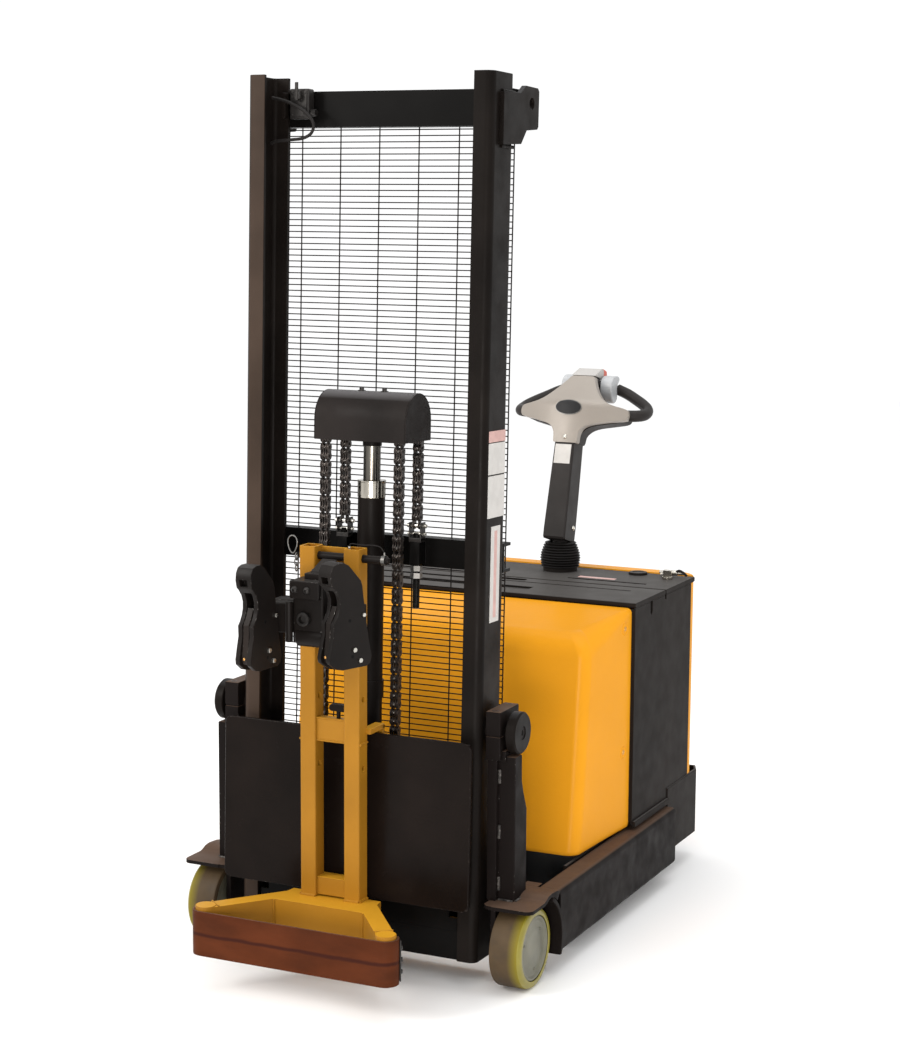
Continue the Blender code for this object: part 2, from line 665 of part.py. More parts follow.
def skirt_outline(inset):
    """Plan of the rear skirt as a U: sides, chamfered corners and rear wall."""
    half = ARM_X[1] - inset
    rear = SKIRT_REAR - inset
    return [(-half, ARM_REAR + GAP), (half, ARM_REAR + GAP), (half, 1019), (384 - inset * 0.6, rear), (-384 + inset * 0.6, rear), (-half, 1019)]


def chassis_frame(look, group):
    """The welded base: floor pan, front beam, bulkhead, drive deck and the skirt round the drive unit."""
    skirt = prism(skirt_outline(0), "Z", *SKIRT_Z)
    hollow = prism(skirt_outline(6), "Z", SKIRT_Z[0] - 5, SKIRT_Z[1] + 5)
    open_front = box((-422, 422), (ARM_REAR - 20, ARM_REAR + 20), (SKIRT_Z[0] - 5, SKIRT_Z[1] + 5))
    pan = box((-FRAME_HALF, FRAME_HALF), (320, 850), (60, 68))
    front_beam = box((-FRAME_HALF + 1, FRAME_HALF - 1), (321, 332), (61, 90))
    bulkhead = box((-FRAME_HALF + 1, FRAME_HALF - 1), (841, 849), (61, 250))
    deck = box((-FRAME_HALF + 2, FRAME_HALF - 2), (843, ARM_REAR + 20), (244, 251))
    deck_rear = prism(skirt_outline(3), "Z", 245, 252)
    walls = [box(span(side, FRAME_HALF - 8, FRAME_HALF - 0.5), (322, 846), (62, 188)) for side in (1, -1)]
    lugs = [box(span(side, 20, 30), (TILT_CHASSIS_Y - 12, TILT_CHASSIS_Y + 60), (66, TILT_PIN_Z + 24)) for side in (1, -1)]
    tilt_pin = rod("X", (0, TILT_CHASSIS_Y, TILT_PIN_Z), 9.0, -34, 34, 16)
    column_hole = rod("Z", (STEER_X, STEER_Y, 0), 72.0, 200, 300, 32)
    name = "chassis_frame"
    shell = combine(name, skirt, (), (hollow, open_front))
    base = bmesh.new()
    base.from_mesh(shell)
    base.transform(Matrix.Scale(1 / MM, 4))
    joined = [deck_rear, deck, bulkhead, pan, front_beam] + walls + lugs + [tilt_pin]
    place(name, combine(name, base, joined, (column_hole,)), look, group)


def side_cover(side, look, group):
    """The plain panel between the cowl and the rear cover, with the rolled strip along its foot."""
    outline = [(COWL_REAR, 204), (888, 204), (888, 263), (COVER_REAR, 263), (COVER_REAR, BODY_TOP - 12.5), (COWL_REAR, BODY_TOP - 12.5)]
    panel = prism(outline, "X", *span(side, BODY_HALF - 6, BODY_HALF))
    strip = rounded_box(span(side, BODY_HALF - 2, BODY_HALF + 8), (650, 888), (196, 212), 4, "Y", 3)
    front_return = box(span(side, BODY_HALF - 26, BODY_HALF - 2), (COWL_REAR, COWL_REAR + 5), (210, BODY_TOP - 14))
    name = side_name("side_cover", side)
    place(name, combine(name, panel, (strip, front_return)), look, group)


def cowl_solid(inset):
    """The cowl's bulged block, with its front and top edges rounded and its sides drawn in towards the front."""
    half = 393.0 - inset
    front = inset
    bottom = 198.0 if inset == 0 else 150.0
    rear = COWL_REAR - 1 if inset == 0 else COWL_REAR + 60
    side_view = [(362 + front, bottom), (372 + front, 520), (398 + front, 668 - inset), (430 + front, 700 - inset)]
    side_view += [(rear, 735 - inset), (rear, bottom)]
    solid = prism(side_view, "X", -half, half)
    solid.verts.ensure_lookup_table()
    rounded = []
    for edge in solid.edges:
        a, b = edge.verts
        at_side = abs(abs(a.co.x) - half) < 1 and abs(a.co.x - b.co.x) < 1
        at_rear = a.co.y > rear - 1 and b.co.y > rear - 1
        at_bottom = a.co.z < bottom + 1 and b.co.z < bottom + 1
        if at_side and not at_rear and not at_bottom:
            rounded.append(edge)
    bmesh.ops.bevel(solid, geom=rounded, offset=38 - inset, segments=4, profile=0.5, affect="EDGES")
    for vert in solid.verts:
        forward = max(0.0, (rear - vert.co.y) / (rear - 362))
        vert.co.x *= 1.0 - 0.045 * forward
    bmesh.ops.recalc_face_normals(solid, faces=solid.faces)
    return solid


def front_cowl(look, group):
    place("front_cowl", combine("front_cowl", cowl_solid(0), (), (cowl_solid(5),)), look, group, smooth=True)


def top_covers(look, group):
    top = BODY_TOP
    low = top - 12
    front = rounded_box((-BODY_HALF, BODY_HALF), (COWL_REAR + GAP, TOP_SPLIT), (low, top), 5, "X", 2)
    recess = box((-260, 95), (700, 745), (top - 5, top + 5))
    front_mesh = combine("front_top_cover", front, (), (recess,))
    place("front_top_cover", front_mesh, look, group)
    rear = rounded_box((-BODY_HALF, BODY_HALF), (TOP_SPLIT + 3, TOP_REAR), (low, top), 4, "X", 2)
    column = rod("Z", (STEER_X, STEER_Y, 0), 34.0, 700, 800, 28)
    place("rear_top_cover", combine("rear_top_cover", rear, (), (column,)), look, group)


def rear_cover_solid(inset):
    half = BODY_HALF - inset
    rear = REAR_COVER_REAR - inset
    front = COVER_REAR + GAP if inset == 0 else COVER_REAR - 40
    bottom = SKIRT_Z[1] + 1.5 if inset == 0 else SKIRT_Z[1] - 30
    solid = box((-half, half), (front, rear), (bottom, BODY_TOP + 3 - inset))
    rounded = []
    for edge in solid.edges:
        a, b = edge.verts
        on_rear = a.co.y > rear - 1 and b.co.y > rear - 1
        on_top = a.co.z > 700 and b.co.z > 700
        upright = abs(a.co.z - b.co.z) > 100
        if (on_rear and (upright or on_top)) or (on_top and abs(a.co.x - b.co.x) < 1):
            rounded.append(edge)
    bmesh.ops.bevel(solid, geom=rounded, offset=26 - inset, segments=4, profile=0.5, affect="EDGES")
    bmesh.ops.recalc_face_normals(solid, faces=solid.faces)
    return solid


def rear_cover(look, group):
    step = box((-BODY_HALF - 10, BODY_HALF + 10), (COVER_REAR - 50, TOP_REAR + GAP), (BODY_TOP - 12.5, BODY_TOP + 40))
    mesh = combine("rear_cover", rear_cover_solid(0), (), (rear_cover_solid(5), step))
    place("rear_cover", mesh, look, group, smooth=True)


def inner_units(battery_look, steel, group):
    place("battery_pack", rounded_box((-335, 335), (500, 800), (68.3, 600), 10, "Z", 2), battery_look, group)
    tank = box((-330, -130), (870, 990), (252.3, 420))
    motor = rod("Z", (-230, 930, 0), 52.0, 415, 610, 24)
    valve = box((-300, -258), (880, 925), (415, 470))
    place("pump_unit", combine("pump_unit", tank, (motor, valve)), steel, group)


# ---------------------------------------------------------------- tilt cylinder

def tilt_cylinder(black, chrome, barrel_group, rod_group):
    pivot = (0.0, TILT_CHASSIS_Y, TILT_PIN_Z)
    tube = [(-150, 16.5), (-150, 30.0), (-14, 30.0), (-14, 0.0), (-34, 0.0), (-34, 16.5)]
    barrel = turned(tube, "Y", pivot, 28)
    eye = rod("X", pivot, 19.0, -19.5, 19.5, 24)
    hole = rod("X", pivot, 9.4, -40, 40, 16)
    mesh = combine("tilt_barrel", barrel, (eye,), (hole,))
    place("tilt_barrel", mesh, black, barrel_group, pivot, smooth=True)

    pivot = (0.0, TILT_MAST_Y, TILT_PIN_Z)
    stem = rod("Y", pivot, 13.2, 8, TILT_CHASSIS_Y - TILT_MAST_Y - 82, 24)
    eye = rod("X", pivot, 19.0, -13.5, 13.5, 24)
    pin = rod("X", pivot, 9.0, -28, 28, 16)
    place("tilt_rod", combine("tilt_rod", stem, (eye, pin)), chrome, rod_group, pivot, smooth=True)


# ---------------------------------------------------------------- drive and tiller

def drive_parts(look, tyre, group):
    """The unit that turns with the tiller: column, motor, gearbox and the clevis that holds the tiller."""
    axis = (STEER_X, STEER_Y, 0)
    profile = [(238, 0.0), (238, 62.0), (256, 62.0), (256, 70.0), (440, 70.0), (440, 30.0), (764, 30.0), (764, 0.0)]
    column = turned(profile, "Z", axis, 28)
    head = box((STEER_X - 60, STEER_X + 92), (STEER_Y - 45, STEER_Y + 45), (234, 241))
    gearbox = rounded_box((STEER_X + 44, STEER_X + 90), (STEER_Y - 48, STEER_Y + 48), (62, 236), 20, "X", 4)
    stub = rod("X", (0, STEER_Y, DRIVE_WHEEL_R), 18.0, STEER_X - 20, STEER_X + 60, 20)
    cheeks = [box((STEER_X + side * 24 - 4, STEER_X + side * 24 + 4), (STEER_Y - 20, STEER_Y + 20), (758, 806)) for side in (1, -1)]
    pin = rod("X", (0, STEER_Y, TILLER_PIVOT_Z), 7.0, STEER_X - 27, STEER_X + 27, 16)
    mesh = combine("drive_unit", column, [head, gearbox, stub] + cheeks + [pin])
    place("drive_unit", mesh, look, group, (STEER_X, STEER_Y, 0))

    half = DRIVE_WHEEL_HALF
    r = DRIVE_WHEEL_R / FACET
    profile = [(-half, 0.0), (-half, r - 5), (-half + 5, r), (half - 5, r), (half, r - 5), (half, 18.4), (-22, 18.4), (-22, 0.0)]
    centre = (STEER_X, STEER_Y, DRIVE_WHEEL_R)
    place("drive_wheel", turned(profile, "X", centre, WHEEL_FACETS), tyre, group, centre, smooth=True)


def bellows(look, group):
    """A rubber boot from the top cover to the tiller arm, with a hollow for the joint inside it."""
    low = BODY_TOP + GAP
    folds = 6
    height = 68.0
    outer = []
    for i in range(folds):
        z = low + height * i / folds
        outer += [(z, 50 - i), (z + 3, 53 - i), (z + 9, 53 - i)]
    outer += [(low + height, 44.0)]
    inner = [(low + height, 40.0), (low, 40.0)]
    place("bellows", turned(outer + inner, "Z", (STEER_X, STEER_Y, 0), 28), look, group, (STEER_X, STEER_Y, low), smooth=True)


def tiller_parts(charcoal, silver, grey, red, group):
    """The tiller, drawn upright above its pivot. Heights are measured up the arm from the pivot."""
    cx, cy, cz = STEER_X, STEER_Y, TILLER_PIVOT_Z
    knuckle = rod("X", (cx, cy, cz), 17.0, -19.5, 19.5, 24)
    hole = rod("X", (cx, cy, cz), 7.4, -40, 40, 16)
    neck = box((cx - 19.5, cx + 19.5), (cy - 16, cy + 16), (cz, cz + 50))
    arm = rounded_box((cx - 30.5, cx + 30.5), (cy - 61, cy + 14), (cz + 30, cz + 283.6), 8, "Z", 3)
    place("tiller_arm", combine("tiller_arm", knuckle, (neck, arm), (hole,)), charcoal, group)

    loop_r = 14.0
    half = [(30, 286), (36, 318), (64, 333), (138, 353), (142, 378), (96, 388), (58, 402), (41, 420), (36, 470)]
    shell = swept_panel(half, -47.7, 40)
    shaft_hole = rod("X", (cx, cy + THROTTLE_V, cz + THROTTLE_U), 7.5, cx - 200, cx + 200, 16)
    bars = []
    for side in (1, -1):
        stations = [(122, 10, 372), (158, 24, 376), (171, 48, 384), (166, 66, 394), (140, 82, 416), (92, 94, 446)]
        points = [Vector((cx + side * a, cy + b, cz + c)) for a, b, c in stations]
        bars += [tube_between(a, b, loop_r) for a, b in zip(points, points[1:])]
    button_holes = [rod("Y", (cx + x, 0, cz + 350), 9.4, cy + 34, cy + 90, 20) for x in (-20, 20)]
    mesh = combine("tiller_head", shell, bars, [shaft_hole] + button_holes)
    place("tiller_head", mesh, charcoal, group)

    half = [(33, 284), (37, 314), (62, 332), (138, 352), (146, 362), (144, 379), (96, 391), (70, 412), (50, 440), (34, 474)]
    face = swept_panel(half, -62, -48)
    cap = rounded_box((cx - 34, cx + 34), (cy + 16, cy + 71), (cz + 471, cz + 492), 6, "X", 3)
    place("head_face", combine("head_face", face, (cap,)), silver, group)


def swept_panel(half, front, back):
    """A plate across the tiller's head whose sides sweep back and whose top leans back."""
    outline = half + mirrored(half)[::-1]
    solid = prism(outline, "Y", front, back)
    cuts = [((x, 0, 0), (1, 0, 0)) for x in (-110, -74, -36, 0, 36, 74, 110)] + [((0, 0, HEAD_BEND), (0, 0, 1))]
    for point, normal in cuts:
        geometry = list(solid.verts) + list(solid.edges) + list(solid.faces)
        bmesh.ops.bisect_plane(solid, geom=geometry, plane_co=point, plane_no=normal, dist=1e-4)
    bmesh.ops.triangulate(solid, faces=solid.faces)
    stations = [0.0, 36.0, 74.0, 110.0, 146.0]
    sweeps = [42.0 * (x / 144.0) ** 2 for x in stations]
    for vert in solid.verts:
        sweep = float(np.interp(abs(vert.co.x), stations, sweeps))
        vert.co.y += sweep + 0.85 * max(0.0, vert.co.z - HEAD_BEND)
        vert.co += Vector((STEER_X, STEER_Y, TILLER_PIVOT_Z))
    return solid


def tube_between(start, end, radius):
    """A round bar between two points with ball ends."""
    length = (end - start).length
    steps = 4
    profile = [(-radius * math.cos(math.pi * i / 2 / steps), radius * math.sin(math.pi * i / 2 / steps)) for i in range(steps + 1)]
    profile += [(length + radius * math.sin(math.pi * i / 2 / steps), radius * math.cos(math.pi * i / 2 / steps)) for i in range(steps)]
    profile += [(length + radius, 0.0)]
    solid = turned([(a, max(r, 0.0)) for a, r in profile], "Z", (0, 0, 0), 12)
    turn = Vector((0, 0, 1)).rotation_difference(end - start).to_matrix().to_4x4()
    solid.transform(Matrix.Translation(start) @ turn)
    return solid


def controls(grey, red, charcoal, chrome, tiller_group, body_group):
    cx, cy, cz = STEER_X, STEER_Y, TILLER_PIVOT_Z
    centre = (cx, cy + THROTTLE_V, cz + THROTTLE_U)
    throttle = rod("X", centre, 6.0, -70, 70, 16)
    paddles = []
    for side in (1, -1):
        low, high = sorted((cx + side * 45, cx + side * 71))
        paddles.append(rounded_box((low, high), (centre[1] - 20, centre[1] + 20), (centre[2] - 20, centre[2] + 20), 14, "X", 4))
    place("throttle", combine("throttle", throttle, paddles), grey, tiller_group, centre)
    belly = rounded_box((cx - 32, cx + 32), (cy + 72.5, cy + 102), (cz + 474.5, cz + 493), 6, "Y", 3)
    place("reverse_button", belly, red, tiller_group, (cx, cy + 87, cz + 474.5))
    for name, offset in (("lift_button", -20), ("lower_button", 20)):
        button = rod("Y", (cx + offset, 0, cz + 350), 9.0, cy + 38, cy + 50, 20)
        place(name, button, grey, tiller_group, (cx + offset, cy + 38, cz + 350), smooth=True)
    base = rod("Z", (352, 1004, 0), 13.0, BODY_TOP + GAP, BODY_TOP + 7, 20)
    blade = box((341, 363), (1002.5, 1005.5), (BODY_TOP + 5, BODY_TOP + 22))
    place("key_switch", combine("key_switch", base, (blade,)), chrome, body_group, (352, 1004, BODY_TOP))


# ---------------------------------------------------------------- assembly

def main():
    clear_scene()
    black = material("black_paint", BLACK, 0.42)
    cover_black = material("cover_black", (0.04, 0.038, 0.038, 1.0), 0.5)
    cowl_yellow = material("cowl_yellow", YELLOW, 0.3)
    frame_yellow = material("frame_yellow", FRAME_YELLOW, 0.4)
    chrome = material("chrome", (0.75, 0.75, 0.76, 1.0), 0.15, 1.0)
    steel = material("steel", (0.35, 0.35, 0.36, 1.0), 0.45, 1.0)
    chain_steel = material("chain_steel", (0.06, 0.06, 0.06, 1.0), 0.4, 1.0)
    rubber = material("rubber", (0.02, 0.02, 0.02, 1.0), 0.7)
    tyre = material("tyre", (0.42, 0.38, 0.20, 1.0), 0.45)
    leather = material("belt_leather", (0.28, 0.09, 0.03, 1.0), 0.6)
    battery = material("battery_case", (0.08, 0.09, 0.10, 1.0), 0.6)
    charcoal = material("charcoal_plastic", CHARCOAL, 0.5)
    silver = material("silver_plastic", (0.60, 0.57, 0.54, 1.0), 0.35)
    grey = material("grey_plastic", (0.55, 0.56, 0.58, 1.0), 0.4)
    red = material("red_plastic", (0.75, 0.06, 0.02, 1.0), 0.35)

    root = empty("truck")
    root.location = (0.0, MAST_FRONT_Y * MM, 0.0)
    mast = empty("mast_tilt", (0, TRUNNION_Y, TRUNNION_Z), root, -MAST_TILT_DEG)
    attachment = empty("drum_attachment", (0, 0, 0), root)
    steering = empty("steering", (STEER_X, STEER_Y, 0), root)
    tiller = empty("tiller", (STEER_X, STEER_Y, TILLER_PIVOT_Z), root, -TILLER_LEAN_DEG)

    for side in (1, -1):
        mast_rail(side, black, mast)
    crossmember("top_crossmember", TOP_MEMBER_Z, black, mast)
    anchors = chain_anchor(1) + chain_anchor(-1)
    crossmember("mid_crossmember", MID_MEMBER_Z, black, mast, anchors)
    bottom_crossmember(black, mast)
    mesh_guard(black, mast)
    lift_cylinder(black, chrome, mast)
    limit_switch(steel, mast)
    switch_cable(rubber, mast)
    piston_parts(black, chrome, mast)
    for side in (1, -1):
        chain_sheave(side, steel, mast)
        chain_run("chain_front", side, CYLINDER_Y - SHEAVE_R, LUG_TOP + GAP, SHEAVE_Z, chain_steel, mast)
        chain_run("chain_rear", side, CYLINDER_Y + SHEAVE_R, ANCHOR_TOP, SHEAVE_Z, chain_steel, mast)
    carriage_parts(black, mast)
    for side in (1, -1):
        for z, level in zip(ROLLER_ZS, ("lower", "upper")):
            carriage_roller(side, z, level, steel, mast)

    drum_frame(frame_yellow, attachment)
    frame_pin(black, attachment)
    gripper_block(black, attachment)
    for side in (1, -1):
        beak(side, black, steel, attachment)
    cradle(frame_yellow, attachment)
    drum_belt(leather, attachment)

    for side in (1, -1):
        straddle_arm(side, black, root)
        load_wheel(side, tyre, root)
        side_cover(side, cover_black, root)
    chassis_frame(black, root)
    front_cowl(cowl_yellow, root)
    top_covers(cover_black, root)
    rear_cover(cowl_yellow, root)
    inner_units(battery, steel, root)
    tilt_cylinder(black, chrome, root, root)
    drive_parts(steel, tyre, steering)
    bellows(rubber, steering)
    tiller_parts(charcoal, silver, grey, red, tiller)
    controls(grey, red, charcoal, chrome, tiller, root)


main()
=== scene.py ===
"""Looks of the walkie stacker: materials, detailed pieces, floor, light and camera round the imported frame.

Lengths are in millimetres until a piece is placed. The truck,
its leaning mast and its tiller each have a drawing frame.
"""

import json
import math

import bmesh
import bpy
from mathutils import Matrix, Vector, noise


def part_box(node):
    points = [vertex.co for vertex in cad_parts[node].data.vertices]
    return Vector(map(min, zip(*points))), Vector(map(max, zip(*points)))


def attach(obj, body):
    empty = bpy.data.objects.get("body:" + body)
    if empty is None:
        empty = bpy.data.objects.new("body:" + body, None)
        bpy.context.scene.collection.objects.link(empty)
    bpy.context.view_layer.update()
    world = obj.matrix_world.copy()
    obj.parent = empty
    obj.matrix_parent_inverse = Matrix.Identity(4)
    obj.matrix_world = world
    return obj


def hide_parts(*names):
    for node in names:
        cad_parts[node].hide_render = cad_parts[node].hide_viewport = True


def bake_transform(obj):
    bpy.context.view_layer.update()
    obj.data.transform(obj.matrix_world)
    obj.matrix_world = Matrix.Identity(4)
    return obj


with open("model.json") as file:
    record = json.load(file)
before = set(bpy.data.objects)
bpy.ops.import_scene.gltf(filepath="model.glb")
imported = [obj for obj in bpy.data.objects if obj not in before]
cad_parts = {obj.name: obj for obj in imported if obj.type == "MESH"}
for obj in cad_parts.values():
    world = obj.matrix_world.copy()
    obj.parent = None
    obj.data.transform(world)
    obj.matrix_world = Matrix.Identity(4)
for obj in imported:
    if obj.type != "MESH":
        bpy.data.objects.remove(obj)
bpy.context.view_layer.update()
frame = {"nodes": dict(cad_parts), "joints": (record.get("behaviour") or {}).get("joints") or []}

JOINTS = {joint["name"]: joint for joint in frame["joints"]}
SIDES = (1, -1)
MM = 0.001

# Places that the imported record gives
TILT_PIN = Vector(JOINTS["mast_tilt"]["pos_m"]) / MM
TRUNNION = Vector((0.0, 52.0, 559.0))
TRUCK_SHIFT = Vector((0.0, TILT_PIN.y - TRUNNION.y, 0.0))
LIFT_AXIS = Vector(JOINTS["piston_lift"]["axis"])
MAST_LEAN = math.atan2(LIFT_AXIS.y, LIFT_AXIS.z)
TILLER_PIN = Vector(JOINTS["tiller_tilt"]["pos_m"]) / MM
PRESS_AXIS = Vector(JOINTS["reverse_press"]["axis"])
TILLER_LEAN = math.atan2(-PRESS_AXIS.y, -PRESS_AXIS.z)

TRUCK = Matrix.Scale(MM, 4) @ Matrix.Translation(TRUCK_SHIFT)
MAST = TRUCK @ Matrix.Translation(TRUNNION) @ Matrix.Rotation(-MAST_LEAN, 4, "X") @ Matrix.Translation(-TRUNNION)
TILLER = Matrix.Scale(MM, 4) @ Matrix.Translation(TILLER_PIN) @ Matrix.Rotation(-TILLER_LEAN, 4, "X")


# ---------------------------------------------------------------- camera, light and floor

CAMERA_PLACE = Vector((2220.3, -4201.6, 1697.7))
CAMERA_YAW, CAMERA_PITCH, CAMERA_ROLL = (math.radians(angle) for angle in (25.44, -8.48, 0.34))
FOCAL_LENGTH = 75.63
SENSOR_WIDTH = 36.0
WORLD_STRENGTH = 1.04
FLOOR_HALF = 14.0


def stand_camera():
    """The view: from the front right, a little above the mast's middle."""
    level = math.cos(CAMERA_PITCH)
    forward = Vector((-math.sin(CAMERA_YAW) * level, math.cos(CAMERA_YAW) * level, math.sin(CAMERA_PITCH)))
    right = Vector((math.cos(CAMERA_YAW), math.sin(CAMERA_YAW), 0.0))
    up = right.cross(forward)
    right_rolled = right * math.cos(CAMERA_ROLL) + up * math.sin(CAMERA_ROLL)
    up_rolled = up * math.cos(CAMERA_ROLL) - right * math.sin(CAMERA_ROLL)
    turn = Matrix((right_rolled, up_rolled, -forward)).transposed().to_4x4()
    lens = bpy.data.cameras.new("camera")
    lens.lens = FOCAL_LENGTH
    lens.sensor_width = SENSOR_WIDTH
    lens.clip_end = 60.0
    camera = bpy.data.objects.new("camera", lens)
    camera.matrix_world = Matrix.Translation((CAMERA_PLACE + TRUCK_SHIFT) * MM) @ turn
    bpy.context.scene.collection.objects.link(camera)
    bpy.context.scene.camera = camera


def area_light(name, place, target, width, height, power, colour=(1.0, 1.0, 1.0)):
    """A rectangular light aimed at a point."""
    lamp = bpy.data.lights.new(name, "AREA")
    lamp.shape = "RECTANGLE"
    lamp.size = width
    lamp.size_y = height
    lamp.energy = power
    lamp.color = colour
    light = bpy.data.objects.new(name, lamp)
    light.location = place
    light.rotation_euler = (Vector(target) - Vector(place)).to_track_quat("-Z", "Y").to_euler()
    bpy.context.scene.collection.objects.link(light)


def light_studio():
    """White surroundings, a warm key from the front left and three weaker lights."""
    world = bpy.data.worlds.new("studio")
    world.use_nodes = True
    background = world.node_tree.nodes["Background"]
    feed(world.node_tree, background, {"Color": (1.0, 1.0, 1.0, 1.0), "Strength": WORLD_STRENGTH})
    bpy.context.scene.world = world
    bpy.context.scene.view_settings.view_transform = "Standard"
    area_light("key", (-3.2, -4.2, 3.6), (0.0, -0.2, 0.7), 2.2, 2.2, 165.0, (1.0, 0.97, 0.93))
    area_light("side", (4.6, 0.6, 2.6), (0.2, 0.1, 0.7), 2.4, 2.8, 6.0, (1.0, 0.98, 0.95))
    area_light("top", (0.3, 0.2, 4.4), (0.0, 0.1, 0.6), 3.0, 3.0, 60.0)
    area_light("low_front", (1.6, -4.6, 0.7), (0.1, -0.5, 0.5), 1.6, 1.0, 84.0, (1.0, 0.95, 0.9))


def floor():
    """The pale floor."""
    solid = bmesh.new()
    bmesh.ops.create_grid(solid, x_segments=1, y_segments=1, size=FLOOR_HALF)
    sheet = temporary(solid, "floor")
    look = bpy.data.materials.new("floor")
    look.use_nodes = True
    feed(look.node_tree, look.node_tree.nodes["Principled BSDF"],
         {"Base Color": (0.97, 0.97, 0.97, 1.0), "Roughness": 0.9, "Specular IOR Level": 0.1})
    sheet.data.materials.append(look)


# ---------------------------------------------------------------- materials

def feed(tree, node, inputs):
    """Sets a node's inputs, each to a value or to another node's output."""
    for key, value in inputs.items():
        if isinstance(value, bpy.types.NodeSocket):
            tree.links.new(value, node.inputs[key])
        else:
            node.inputs[key].default_value = value


def add_node(tree, kind, inputs, **settings):
    node = tree.nodes.new("ShaderNode" + kind)
    for name, value in settings.items():
        setattr(node, name, value)
    feed(tree, node, inputs)
    return node


def arithmetic(tree, operation, *values):
    return add_node(tree, "Math", dict(enumerate(values)), operation=operation).outputs["Value"]


def ramp(tree, value, low, high, out_low=0.0, out_high=1.0):
    ends = {"Value": value, "From Min": low, "From Max": high, "To Min": out_low, "To Max": out_high}
    return add_node(tree, "MapRange", ends).outputs["Result"]


def mixed(tree, factor, first, second):
    """The first colour going over to the second. Each is a tuple or a node's output."""
    first, second = ((*value, 1.0) if isinstance(value, tuple) else value for value in (first, second))
    return add_node(tree, "Mix", {"Factor": factor, "A": first, "B": second}, data_type="RGBA").outputs["Result"]


def edge_wear(tree, radius, amount, grain):
    """How far an edge is worn and lit: where a rounded normal leaves the true one, broken up by grain. The mask is
    partly real wear and partly a painted edge highlight.
    """
    rounded = add_node(tree, "Bevel", {"Radius": radius}, samples=4).outputs["Normal"]
    true = add_node(tree, "NewGeometry", {}).outputs["Normal"]
    dot = add_node(tree, "VectorMath", {0: rounded, 1: true}, operation="DOT_PRODUCT").outputs["Value"]
    return arithmetic(tree, "MULTIPLY", ramp(tree, dot, 0.995, 0.9), ramp(tree, grain, 0.62 - amount, 0.72 - amount))


def surface(name, colour, roughness, metallic=0.0, **extra):
    """A procedural surface: mottled colour, uneven gloss and a fine skin.

    If asked, it also has streak (colour, scale, low, high), which is grain on leather, tyres and welds and a painted
    reflection on chrome, fade (axis, near, far, colour), band (height, half width, colour), a lighter colour on what
    faces up (colour, amount), which is painted top sheen and on some parts also dust, and wear on its edges (colour,
    radius, amount), which is partly real wear and partly a painted edge highlight.
    """
    look = bpy.data.materials.new(name)
    look.use_nodes = True
    tree = look.node_tree
    place = add_node(tree, "TexCoord", {}).outputs["Object"]
    stretch = {"Vector": place, "Scale": extra.get("stretch", (1.0, 1.0, 1.0))}
    stretched = add_node(tree, "Mapping", stretch).outputs["Vector"]

    def clouds(scale, detail):
        return add_node(tree, "TexNoise", {"Scale": scale, "Detail": detail, "Vector": stretched}).outputs["Fac"]

    def level(vector, axis):
        return add_node(tree, "SeparateXYZ", {"Vector": vector}).outputs[axis]

    mottle = extra.get("mottle", 0.12)
    gloss = extra.get("gloss", 0.06)
    dark = tuple(c * (1.0 - mottle) for c in colour)
    light = tuple(min(1.0, c * (1.0 + mottle)) for c in colour)
    tint = mixed(tree, ramp(tree, clouds(extra.get("mottle_scale", 5.0), 6.0), 0.35, 0.65), dark, light)
    # Streaks: grain on leather, tyres and welds; on chrome and the rod they are a painted reflection.
    if "streak" in extra:
        streak_colour, scale, low, high = extra["streak"]
        tint = mixed(tree, ramp(tree, clouds(scale, 8.0), low, high, 0.0, 0.8), tint, streak_colour)
    if "fade" in extra:
        axis, near, far, fade_colour = extra["fade"]
        away = arithmetic(tree, "ABSOLUTE", level(place, axis))
        tint = mixed(tree, ramp(tree, away, near, far), tint, fade_colour)
    if "band" in extra:
        height, half, band_colour = extra["band"]
        wander = ramp(tree, clouds(24.0, 5.0), 0.3, 0.7, -0.3 * half, 0.3 * half)
        offset = arithmetic(tree, "SUBTRACT", arithmetic(tree, "SUBTRACT", level(place, 2), wander), height)
        away = arithmetic(tree, "ABSOLUTE", offset)
        tint = mixed(tree, ramp(tree, away, half, half * 0.3, 0.0, 0.85), tint, band_colour)
    # A lighter colour on what faces up: painted top sheen from the overhead light, on some parts also dust.
    if "dust" in extra:
        dust_colour, amount = extra["dust"]
        upward = level(add_node(tree, "NewGeometry", {}).outputs["Normal"], 2)
        tint = mixed(tree, ramp(tree, upward, 0.75, 0.97, 0.0, amount), tint, dust_colour)
    # Lighter edges: partly real wear, partly a painted edge highlight.
    if "wear" in extra:
        wear_colour, radius, amount = extra["wear"]
        worn = edge_wear(tree, radius, amount, clouds(160.0, 5.0))
        tint = mixed(tree, worn, tint, wear_colour)
        metallic = worn if extra.get("wear_metal", True) else metallic
    skin = {"Strength": extra.get("bump", 0.15), "Distance": extra.get("bump_depth", 0.0004),
            "Height": clouds(extra.get("bump_scale", 500.0), 3.0)}
    feed(tree, tree.nodes["Principled BSDF"], {
        "Base Color": tint,
        "Roughness": ramp(tree, clouds(22.0, 4.0), 0.3, 0.7, roughness - gloss, roughness + gloss),
        "Metallic": metallic,
        "Specular IOR Level": extra.get("specular", 0.5),
        "Coat Weight": extra.get("coat", 0.0),
        "Coat Roughness": extra.get("coat_rough", 0.08),
        "Normal": add_node(tree, "Bump", skin).outputs["Normal"],
    })
    return look


